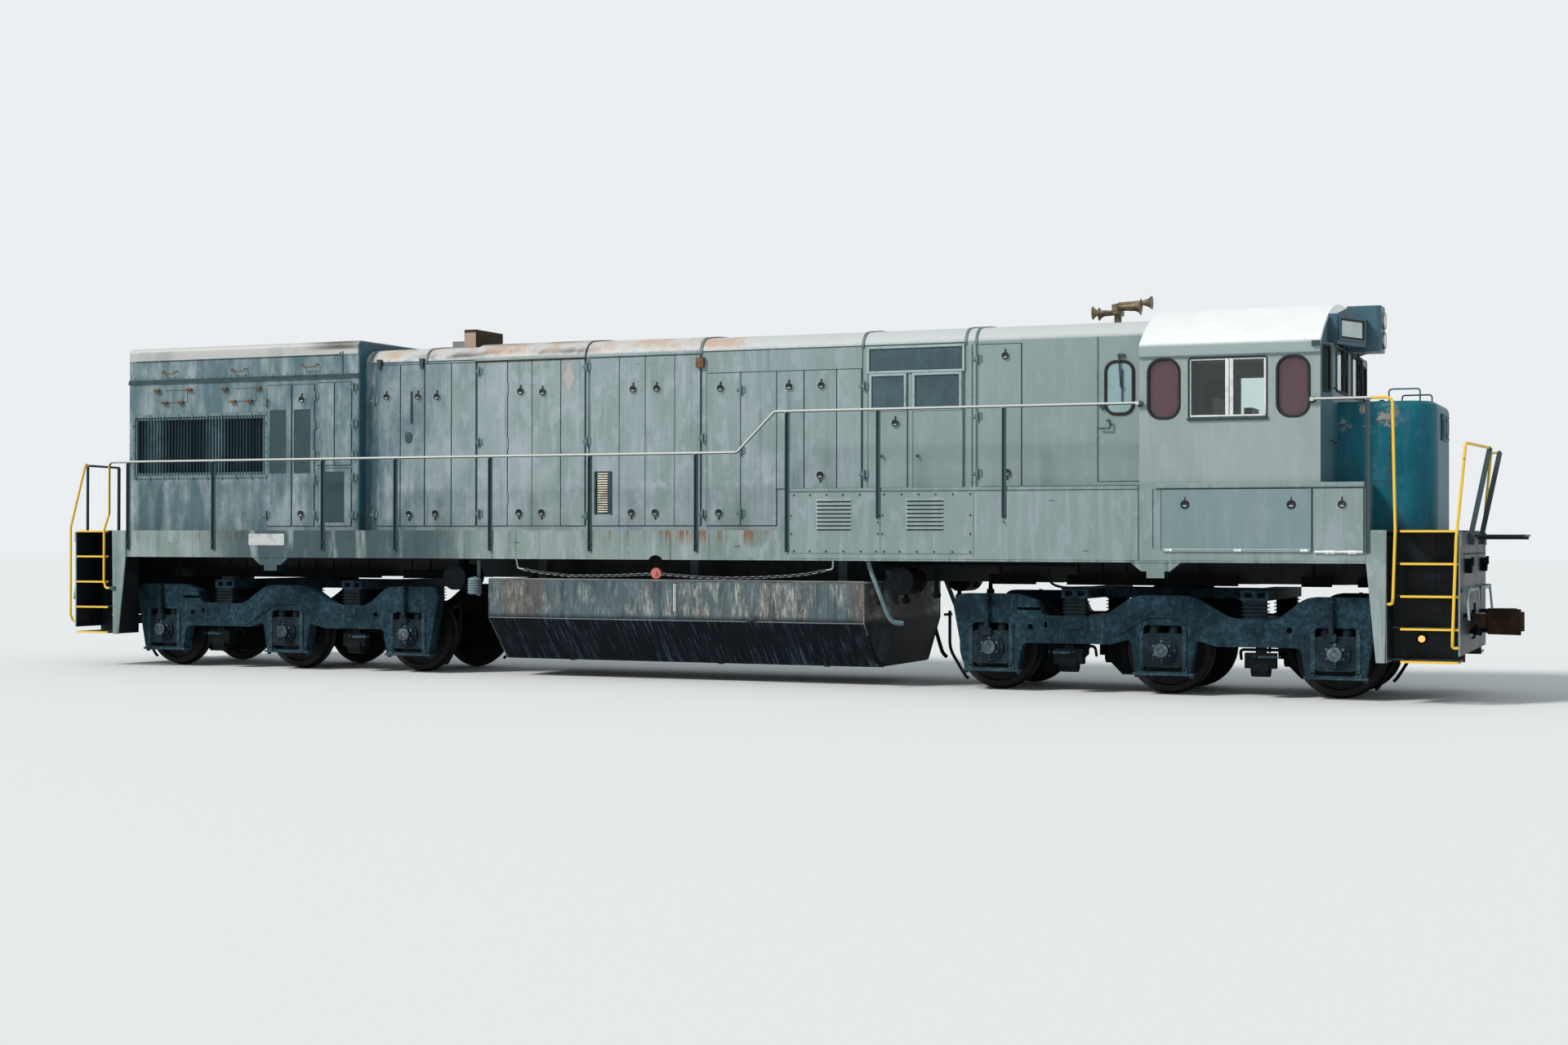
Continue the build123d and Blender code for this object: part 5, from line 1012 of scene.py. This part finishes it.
lens_glass = grooved("lens_glass", (0.35, 0.38, 0.37), (0.62, 0.64, 0.62), 0.12, "Y", 0.008, Coat_Weight=0.8)
lenses, lamp_bodies = meshes(2)
out, start = Vector((1.0, 0.9, 0)).normalized(), Vector((9.232, 0.66, 3.19))
turned(lamp_bodies, start, out, ((-0.03, 0.072), (0.018, 0.072), (0.026, 0.064), (0.022, 0.05)), 20)
lens(lenses, start + out * 0.014, out, 0.052)
turned(lamp_bodies, (-9.006, 0.86, 4.25), BACK, ((-0.01, 0.066), (0.02, 0.066), (0.028, 0.058),
                                                 (0.024, 0.046)), 20)
lens(lenses, (-9.022, 0.86, 4.25), BACK, 0.048)
mirrored(lamp_bodies, lenses)
for x, way, middle in ((8.669, FORWARD, 4.345), (-9.022, BACK, 4.2)):
    for z in about(middle, 0.1175):
        lens(lenses, (x, 0, z), way, 0.09)
piece("lamp_lenses", lenses, lens_glass)
piece("class_lamp_rims", lamp_bodies, lamp_rim)

# Nose fittings: the sealed-off lamp box bolted on the front sheet, the sand filler's cap, and the welded
# joints of the side sheets.
nose_bits, nose_lines = meshes(2)
for x, z in (((8.64, 8.646), (2.512, 3.43)), ((8.852, 8.858), (1.997, 3.23)),
             ((8.646, 8.852), (3.226, 3.232)),
             ((8.646, 8.852), (2.526, 2.532))):
    slab(nose_lines, x, (0.898, 0.904), z)
for z in (2.65, 2.85, 3.05, 3.2):
    for x in (8.665, 8.835):
        stud(nose_lines, x, 0.899, z, SMALL_SCREW, 8)
for x in (8.8, 9.15):
    turned(nose_bits, (x, 0.6, 3.452), UP, ((0, 0.028), (0.012, 0.028), (0.016, 0.014)))
mirrored(nose_lines, nose_bits)
slab(nose_bits, (9.344, 9.372), (-0.3, 0.3), (3.02, 3.33))
for y in (-0.14, 0.14):
    turned(nose_bits, (9.368, y, 3.175), FORWARD, ((0, 0.118), (0.014, 0.118), (0.018, 0.106), (0.01, 0.1)),
           24)
for y in (-0.27, -0.01, 0.01, 0.27):
    for z in (3.045, 3.305):
        turned(nose_bits, (9.37, y, z), FORWARD, HEX, 6)
turned(nose_bits, (8.7, -0.45, 3.452), UP, ((0, 0.08), (0.02, 0.08), (0.028, 0.066), (0.028, 0.03),
                                            (0.044, 0.026)),
       16)
slab(nose_bits, (8.64, 8.76), (-0.515, -0.385), (3.45, 3.466))
nose_trim = iron_paint("nose_trim", (0.02, 0.07, 0.085), (0.045, 0.11, 0.125))
piece("nose_fittings", nose_bits, nose_trim, bevel=0.004)
piece("nose_joints", nose_lines, gap_dark)

# Cab base: a folded lid along the top of the battery boxes, bright hinge rods at the doors' feet, and
# round latches.
base_dark, base_rods, base_bits = meshes(3)
BATTERY_LATCH, ROD_Y = 1.538, 1.544


def rod(mesh, low, high, z, radius):
    """A straight hinge rod."""
    tube(mesh, [(low, ROD_Y, z), (high, ROD_Y, z)], radius, 10)


prism(base_bits, [(6.28, y, z) for y, z in ((1.52, 2.512), (1.552, 2.506), (1.552, 2.462), (1.544, 2.45),
                                            (1.52, 2.45))],
      (2.372, 0, 0))
slab(base_dark, (6.27, 8.652), (1.522, 1.534), (2.438, 2.45))
for x, bottom, top in ((6.234, 1.75, 2.448), (8.076, 1.73, 2.44), (8.642, 1.73, 2.44), (6.33, 1.73, 2.44)):
    slab(base_dark, about(x, 0.004), (1.523, 1.53), (bottom, top))
rod(base_rods, 8.1, 8.636, 1.716, 0.014)
for x in (8.24, 8.3, 8.49, 8.54):
    rod(base_rods, *about(x, 0.026), 1.716, 0.018)
    slab(base_rods, about(x, 0.018), (1.522, 1.546), (1.69, 1.716))
stud(base_bits, 8.114, 1.524, 1.752, ((0, 0.014), (0.01, 0.014), (0.014, 0.008)), 10)
mirrored(base_bits, base_dark, base_rods)
latches("small_door_latches", "small_door_rings", BATTERY_LATCH, ((8.406, 2.254, 1),))
for hand in ("right", "left"):
    body = f"battery_door_{hand}"
    latches(f"battery_latches_{hand}", f"battery_rings_{hand}", BATTERY_LATCH,
            ((6.617, 2.262, 1), (7.839, 2.256, 1)),
            body, hand)
    rods = bmesh.new()
    rod(rods, 6.352, 8.052, 1.73, 0.015)
    for x in (6.4, 6.445, 7.205, 7.25, 7.96, 8.005):
        rod(rods, *about(x, 0.02), 1.73, 0.018)
    mirrored(rods, hand=hand)
    piece(f"battery_rods_{hand}", rods, rod_white, body)
piece("battery_lids", base_bits, duct_grey, bevel=0.003)
piece("battery_seams", base_dark, gap_dark)
piece("battery_hinge_rods", base_rods, rod_white)

# Platform fittings: screws round the air duct's removable sheets, the jacking plate, post bolts, and the
# lamp that lights each flight of steps.
DUCT_FACE, SILL_FACE = 1.528, 1.52
SCREW_ROWS = (
    (2.402, (1.68, 1.896, 2.118, 2.336, 2.562, 2.78, 2.88, 3.111, 3.331, 3.551, 3.771, 3.994)),
    (1.7, (1.68, 1.891, 2.113, 2.343, 2.575, 2.78, 2.88, 3.085, 3.308, 3.531, 3.766, 3.994)),
    (1.917, (2.799, 2.859, 3.994, 1.64)), (2.144, (2.799, 2.859, 3.994, 1.64)))
SILL_POSTS, DUCT_POSTS = (-8.712, -7.215, -5.368, -4.188, -2.704, -1.205, 0.327, 1.588), (2.808, 4.423)
STEP_LAMPS, STEP_LAMP_Z = (-9.386, 9.214), 0.726
BLADE_PITCH, BLADE_FOOT = 0.04975, 1.967
screws, joints, plates, clips, lamps, step_lenses, blades, louvre_shadow_slabs = meshes(8)
for z, places in SCREW_ROWS:
    for x in places:
        stud(screws, x, DUCT_FACE, z, SCREW, 8)
for x, z in (((2.828, 2.833), (1.68, 2.43)), ((4.032, 4.037), (1.64, 2.44)), ((1.64, 4.032), (1.672, 1.676)),
             ((6.058, 6.066), (1.612, 2.5))):
    slab(joints, x, (DUCT_FACE - 0.002, DUCT_FACE + 0.003), z)
slab(joints, (1.62, 6.06), (1.5275, 1.534), (2.44, 2.448))
for x, z, y in ((5.01, 2.315, 1.53), (5.43, 1.716, 1.53), (-2.3, 1.8, 1.524), (0.9, 1.76, 1.524),
                (-5.9, 1.66, 1.524)):
    slab(joints, about(x, 0.035), (SILL_FACE, y), about(z, 0.004))
panel(plates, (-6.316, SILL_FACE, 1.835), FORWARD, OUT, (0.301, 0.081, 0.02), 0.008)
for x in (-6.575, -6.057):
    for z in (1.785, 1.885):
        stud(plates, x, SILL_FACE + 0.007, z, SCREW, 8)
for posts, face, foot in ((SILL_POSTS, SILL_FACE, 1.7), (DUCT_POSTS, DUCT_FACE, 2.06)):
    for x in posts:
        for z in (foot, foot + 0.09):
            stud(clips, x, face + 0.02, z)
for x in STEP_LAMPS:
    stud(lamps, x, 1.0, STEP_LAMP_Z, ((-0.02, 0.062), (0.02, 0.062), (0.03, 0.054), (0.024, 0.04)), 18)
    lens(step_lenses, (x, 1.018, STEP_LAMP_Z), OUT, 0.042)
# the duct's louvre blades, painted pale as a painted highlight on their sunlit slopes, each over a dark slab
# that is painted shadow in the gap below it
for rear, front in ((1.993, 2.437), (3.182, 3.642)):
    for number in range(8):
        low = BLADE_FOOT + number * BLADE_PITCH
        outline = ((DUCT_FACE - 0.002, 0.86), (1.5415, 0.34), (1.5415, 0.18), (DUCT_FACE - 0.002, 0.18))
        prism(blades, [(rear - 0.006, y, low + share * BLADE_PITCH) for y, share in outline],
              (front - rear + 0.012, 0, 0))
        slab(louvre_shadow_slabs, (rear - 0.004, front + 0.004), (DUCT_FACE - 0.001, DUCT_FACE + 0.0012),
             (low - 0.14 * BLADE_PITCH, low + 0.18 * BLADE_PITCH))
mirrored(screws, joints, plates, clips, lamps, step_lenses, blades, louvre_shadow_slabs)
# pale louvre blades: painted highlight; black slabs under them: painted shadow
blade_highlight_pale = iron_paint("blade_highlight_pale", (0.66, 0.68, 0.64), (0.46, 0.5, 0.48), 7.0)
piece("duct_louvres", blades, blade_highlight_pale)
piece("duct_louvre_shadows", louvre_shadow_slabs, latch_black)
piece("duct_screws", screws, gap_dark)
piece("duct_joints", joints, gap_dark)
jack_white = iron_paint("jack_white", (0.5, 0.52, 0.5), (0.33, 0.36, 0.36), 5.0)
piece("jacking_plates", plates, jack_white, bevel=0.002)
piece("post_bolts", clips, gap_dark)
piece("step_lamp_rims", lamps, rubber)
step_glass = grooved("step_glass", (0.7, 0.35, 0.12), (0.9, 0.62, 0.3), 0.25, "Z", 0.01,
                     Emission_Strength=1.4,
                     Emission_Color=(1.0, 0.42, 0.12))
piece("step_lamp_lenses", step_lenses, step_glass)

# End fittings: the uncoupling lever of bent bar on its brackets, cast angle cocks on the ends of the brake
# pipes, and sockets for the control cables bolted to the end sheet.
levers, cocks, sockets = meshes(3)
FACE = 9.698
LEVER_X, PIPE_X = FACE + 0.055, FACE + 0.06
tube(levers, bent([(LEVER_X, 0.16, 1.16), (LEVER_X, 0.2, 1.29), (LEVER_X, 1.3, 1.29), (LEVER_X, 1.42, 1.18),
                   (FACE + 0.075, 1.44, 0.96)], 0.05), 0.014)
for y in (0.42, 1.24):
    slab(levers, (FACE - 0.014, FACE + 0.075), about(y, 0.014), (1.262, 1.318))
tube(cocks, bent([(FACE - 0.02, 0.42, 0.8), (PIPE_X, 0.42, 0.8), (FACE + 0.11, 0.4, 0.77)], 0.03), 0.03, 12)
turned(cocks, (PIPE_X, 0.42, 0.8), UP, ((-0.045, 0.03), (-0.04, 0.042), (0.04, 0.042), (0.06, 0.02)))
tube(cocks, bent([(PIPE_X, 0.42, 0.85), (PIPE_X, 0.42, 0.88), (PIPE_X, 0.54, 0.88)], 0.01), 0.01)
for y in (0.76, 0.87, 0.98, 1.09):
    tube(cocks, bent([(FACE - 0.02, y, 1.0), (LEVER_X, y, 1.0), (FACE + 0.085, y, 0.955)], 0.02), 0.019, 10)
turned(sockets, (FACE, 0.9, 1.56), FORWARD, ((-0.01, 0.085), (0.05, 0.085), (0.06, 0.078), (0.06, 0.02)), 18)
slab(sockets, (FACE + 0.05, FACE + 0.075), (0.83, 0.97), (1.56, 1.66))
mirrored(levers, cocks, sockets)
slab(sockets, (FACE - 0.004, FACE + 0.012), (-1.2, 1.2), (1.69, 1.7))
mirrored(levers, cocks, sockets, axis=0)
piece("uncoupling_levers", levers, pale_frame)
piece("angle_cocks", cocks, under_iron)
piece("cable_sockets", sockets, under_iron, bevel=0.003)

# Radiator end: a hinged inspection panel, blank number plates in frames, and grab irons of bent rod up the
# left side and over the door.
end_lines, end_irons, end_plates, end_rims = meshes(4)
middle = (-9.0085, 0.64, 4.25)
panel(end_plates, middle, OUT, BACK, (0.135, 0.09, 0.01), 0.008)
gasket(end_rims, middle, OUT, BACK, (0.15, 0.1, 0.01),
       ((-0.016, -0.004), (-0.016, 0.012), (0.016, 0.016), (0.016, -0.004)))
for y in (0.33, 1.06):
    slab(end_lines, (-9.0125, -9.006), about(y, 0.004), (2.1, 3.9))
for z in (2.1, 3.0, 3.9):
    slab(end_lines, (-9.0125, -9.006), (0.33, 1.06), about(z, 0.004))
for z in (2.25, 2.75, 3.15, 3.65):
    turned(end_lines, (-9.02, 1.052, z), UP, ((0, 0.008), (0.004, 0.014), (0.096, 0.014), (0.1, 0.008)), 10)
mirrored(end_plates, end_rims, end_lines)
for low, high, z, x, radius in [(0.64, 1.0, 2.35 + step * 0.37, -9.07, 0.01) for step in range(5)] + [
        (-0.6, 0.5, 3.96, -9.075, 0.012)]:
    tube(end_irons, bent([(-9.006, low, z), (x, low, z), (x, high, z), (-9.006, high, z)], 0.03), radius)
piece("end_panel_joints", end_lines, gap_dark)
piece("end_grab_irons", end_irons, fitting_grey)
piece("end_number_plates", end_plates, plate_white)
piece("end_plate_rims", end_rims, rubber)

# Truck fittings: bolts round every bearing cap, bolted liners in the pedestals, tie bars across their feet,
# sand pipes to the end wheels, and the brake rods.
AXLE_PLACES, AXLE_HEIGHT = (-2.13, 0.0, 2.01), 0.536
CAP_BOLT, BOX_BOLT = ((0, 0.017), (0.014, 0.017), (0.018, 0.01)), ((0, 0.013), (0.01, 0.013), (0.013, 0.008))
cap_pale = grimy_iron("cap_pale", (0.03, 0.045, 0.055), (0.25, 0.32, 0.36), 0.9, 0.5)
# a paler dust bloom on the pedestal liners, tie bars and their bolts, also a painted highlight of the sunlit
# tie bars
bar_dust_and_highlight = grimy_iron("bar_dust_and_highlight", (0.01, 0.026, 0.036), (0.085, 0.15, 0.185), 0.85)
for end, centre in (("rear", -6.26), ("front", 6.26)):
    caps, bars, pipes = meshes(3)
    for place in AXLE_PLACES:
        x = centre + place
        stud(caps, x, 1.236, AXLE_HEIGHT, ((0, 0.086), (0.006, 0.084), (0.01, 0.072), (0.006, 0.05),
                                           (0.003, 0.038)), 24)
        for mesh, y, circle, count, first, bolt in ((caps, 1.189, 0.108, 6, 0.5, CAP_BOLT),
                                                    (bars, 1.164, 0.147, 8, 0, BOX_BOLT)):
            for number in range(count):
                turn = math.tau * (number + first) / count
                stud(mesh, x + circle * math.cos(turn), y, AXLE_HEIGHT + circle * math.sin(turn), bolt)
        for reach in (-1, 1):
            slab(bars, (x + reach * 0.232, x + reach * 0.282), (1.118, 1.146), (0.3, 0.82))
            for z in (0.36, 0.52, 0.68, 0.79):
                stud(bars, x + reach * 0.257, 1.144, z)
            slab(bars, (x + reach * 0.3, x + reach * 0.235), (1.02, 1.146), (0.27, 0.32))
            turned(bars, (x + reach * 0.33, 1.076, 0.238), DOWN, ((0, 0.03), (0.026, 0.03), (0.03, 0.018)), 6)
        slab(bars, about(x, 0.365), (1.01, 1.142), (0.238, 0.268))
    for place, way in ((-2.13, -1), (2.01, 1)):
        x = centre + place
        tube(pipes, bent([(x + way * 0.64, 0.8, 0.96), (x + way * 0.64, 0.8, 0.48), (x + way * 0.44, 0.785,
                                                                                     0.15),
                          (x + way * 0.4, 0.785, 0.12)], 0.1), 0.02, 10)
        slab(pipes, (x + way * 0.615, x + way * 0.665), (0.775, 0.96), (0.9, 0.93))
    for place, middle in ((-1.165, -1.235), (1.165, 1.235)):
        rear, front = centre + place - 0.28, centre + place + 0.3
        tube(pipes, bent([(rear, 0.9, 0.44), (rear, 0.96, 0.56), (front, 0.96, 0.56), (front, 0.9, 0.44)],
                         0.05), 0.018)
        slab(bars, about(centre + middle, 0.11), (1.148, 1.156), (0.47, 0.5))
        for x in about(centre + middle, 0.15):
            stud(bars, x, 1.15, 0.49)
    mirrored(caps, bars, pipes)
    body = f"truck_{end}"
    piece(f"bearing_caps_{end}", caps, cap_pale, body)
    piece(f"pedestal_bars_{end}", bars, bar_dust_and_highlight, body, 0.003)
    piece(f"sand_pipes_{end}", pipes, under_iron, body)

# Fuel tank fittings: a weld bead round the top plate, a sight glass in each recess, drain plugs, and the
# pull chain to the fuel cut-off with a red cap at its middle.
beads, gauge, red_caps, chain = meshes(4)


def link(mesh, start, end, wide, thick, flat):
    """One chain link from start to end, flat or on edge."""
    along = (end - start).normalized()
    across = along.orthogonal().normalized()
    across = (Matrix.Rotation(math.radians(90 * flat), 4, along) @ across).normalized()
    middle, half = (start + end) / 2, (end - start).length / 2 + thick
    loop = [middle + along * u + across * v for u, v in round_corners(half, wide / 2, wide / 2 * 0.98, 0.0,
                                                                      3)]
    tube(mesh, loop + [loop[0]], thick, 5)


CHAINS = (
    ((-2.269, 1.447), (-2.028, 1.406), (-1.553, 1.362), (-0.9, 1.372), (-0.368, 1.398)),
    ((-0.25, 1.398), (0.3, 1.362), (0.69, 1.352), (1.15, 1.362), (1.545, 1.385), (1.825, 1.415),
     (2.06, 1.464)))
LINK_PITCH = 0.055
for y, z, radius in ((1.446, 1.316, 0.012), (1.448, 0.8, 0.007)):
    tube(beads, [(-2.768, y, z), (2.588, y, z)], radius, 6)
for x in (-2.768, 2.588):
    tube(beads, [(x, 1.448, 1.31), (x, 1.448, 0.8), (x, 0.96, 0.25)], 0.01, 6)
for x in (-1.45, 1.27):
    tube(beads, [(x, 1.4495, 1.31), (x, 1.4495, 0.8)], 0.004, 6)
turned(gauge, (-0.007, 1.442, 0.925), UP,
       ((0, 0.012), (0.02, 0.012), (0.022, 0.009), (0.32, 0.009), (0.322, 0.012), (0.342, 0.012)), 10)
slab(gauge, (-0.045, -0.028), (1.434, 1.442), (0.91, 1.28))
stud(red_caps, -0.31, 1.38, 1.408, ((-0.12, 0.035), (-0.02, 0.035), (-0.02, 0.072), (0.01, 0.076),
                                    (0.03, 0.07),
                                    (0.032, 0.03), (0.05, 0.026)), 20)
for x in (-1.9, 0.3, 1.8):
    turned(beads, (x, 0.7, 0.236), DOWN, ((0, 0.045), (0.02, 0.045), (0.026, 0.03)), 6)
for x, z, way in ((-2.269, 1.447, -1), (2.06, 1.464, 1)):
    tube(gauge, bent([(x, 1.395, z), (x + way * 0.09, 1.4, z + 0.014), (x + way * 0.1, 1.41, z + 0.11),
                      (x + way * 0.1, 1.44, 1.6)], 0.03), 0.011)
for y in (-1.395, 1.395):
    for line in CHAINS:
        count = 0
        points = [Vector((x, y, z)) for x, z in line]
        for start, end in zip(points, points[1:]):
            number = max(2, round((end.x - start.x) / LINK_PITCH))
            for step in range(number):
                link(chain, start.lerp(end, step / number), start.lerp(end, (step + 1) / number), 0.034,
                     0.006,
                     (count + step) % 2)
            count += number
mirrored(beads, gauge, red_caps)
# the beads and drain plugs painted pale: a painted highlight along the tank's edges, over grime
bead_highlight_pale = grimy_iron("bead_highlight_pale", (0.05, 0.065, 0.07), (0.32, 0.33, 0.31), 0.9)
piece("tank_beads", beads, bead_highlight_pale)
piece("tank_gauges", gauge, ring_pale)
red_faded = iron_paint("red_faded", (0.52, 0.13, 0.1), (0.6, 0.3, 0.26), 30.0)
piece("cut_off_caps", red_caps, red_faded)
chain_steel = iron_paint("chain_steel", (0.16, 0.18, 0.18), (0.07, 0.08, 0.085), 30.0, 0.5, 0.5)
piece("pull_chains", chain, chain_steel)

# Between tank and front truck: the bell on its bracket, the tank's vent pipe, a filter can and small valves;
# ribbed cans ahead of the rear truck, and folded cable troughs above both trucks.
bell, pipes, can, troughs = meshes(4)
tube(can, bent([(2.605, 1.35, 1.59), (2.64, 1.35, 1.46), (2.865, 1.35, 0.915), (2.92, 1.32, 0.82),
                (3.031, 1.25, 0.806)],
               0.1), 0.03, 12)
ribs = [(0, 0.06), (0.01, 0.088)]
for number in range(6):
    low = 0.016 + number * 0.034
    ribs += [(low, 0.088), (low + 0.006, 0.098), (low + 0.016, 0.098), (low + 0.022, 0.088)]
turned(can, (-3.083, 1.3, 1.1), UP, ribs + [(0.222, 0.08), (0.23, 0.05)], 20)
slab(can, (-3.105, -3.061), (1.18, 1.204), (1.08, 1.56))
slab(can, (-3.105, -3.061), (1.18, 1.3), (1.33, 1.342))
tube(pipes, bent([(2.56, 1.3, 0.7), (2.6, 1.3, 0.56), (2.69, 1.26, 0.32), (2.76, 1.22, 0.27)], 0.06), 0.026,
     10)
for x, y, z in ((3.2, 1.15, 1.202), (3.42, 1.1, 1.12), (3.0, 1.05, 1.047)):
    turned(pipes, (x, y, z), UP, ((0, 0.03), (0.02, 0.052), (0.06, 0.052), (0.08, 0.03), (0.16, 0.024),
                                  (0.38, 0.02)))
    stud(pipes, x, y, z + 0.04, ((0, 0.022), (0.07, 0.022), (0.076, 0.014)), 10)
tube(pipes, [(2.64, 1.18, 1.54), (5.2, 1.18, 1.54)], 0.021)
tube(pipes, bent([(4.9, 1.24, 1.5), (4.9, 1.26, 1.33), (5.06, 1.26, 1.27), (5.7, 1.24, 1.285)], 0.12), 0.016)
for rear, front in ((-8.95, -5.02), (-4.64, -3.95), (3.95, 4.55), (4.95, 7.05), (7.8, 8.15), (8.45, 8.95)):
    slab(troughs, (rear, front), (0.6, 0.64), (1.296, 1.42))
    slab(troughs, (rear, front), (0.64, 0.672), (1.296, 1.303))
    for number in range(int((front - rear) / 0.3)):
        slab(troughs, about(rear + 0.15 + number * 0.3, 0.015), (0.64, 0.648), (1.303, 1.56))
mirrored(can, pipes, troughs)
turned(bell, (2.752, -1.0, 1.353), DOWN,
       ((0, 0.02), (0.02, 0.06), (0.05, 0.082), (0.13, 0.092), (0.22, 0.108), (0.29, 0.134), (0.325, 0.15),
        (0.33, 0.142), (0.3, 0.126), (0.2, 0.096)), 26)
turned(bell, (2.752, -1.0, 1.353), UP, ((0, 0.026), (0.06, 0.026), (0.07, 0.04), (0.11, 0.04), (0.12, 0.02)))
tube(pipes, bent([(2.6, -1.0, 1.38), (2.6, -1.0, 1.52), (2.904, -1.0, 1.52), (2.904, -1.0, 1.38)], 0.04),
     0.016)
slab(pipes, (2.7, 2.804), (-1.05, -0.95), (1.5, 1.59))
piece("cable_troughs", troughs, under_iron)
bell_dark = grimy_iron("bell_dark", (0.035, 0.045, 0.048), (0.13, 0.17, 0.175), 0.9, 0.5)
pipe_pale = grimy_iron("pipe_pale", (0.1, 0.15, 0.165), (0.26, 0.36, 0.39), 0.9, 0.5)
piece("bell", bell, bell_dark)
piece("vent_pipes_and_cans", can, pipe_pale)
piece("under_pipes", pipes, under_iron)
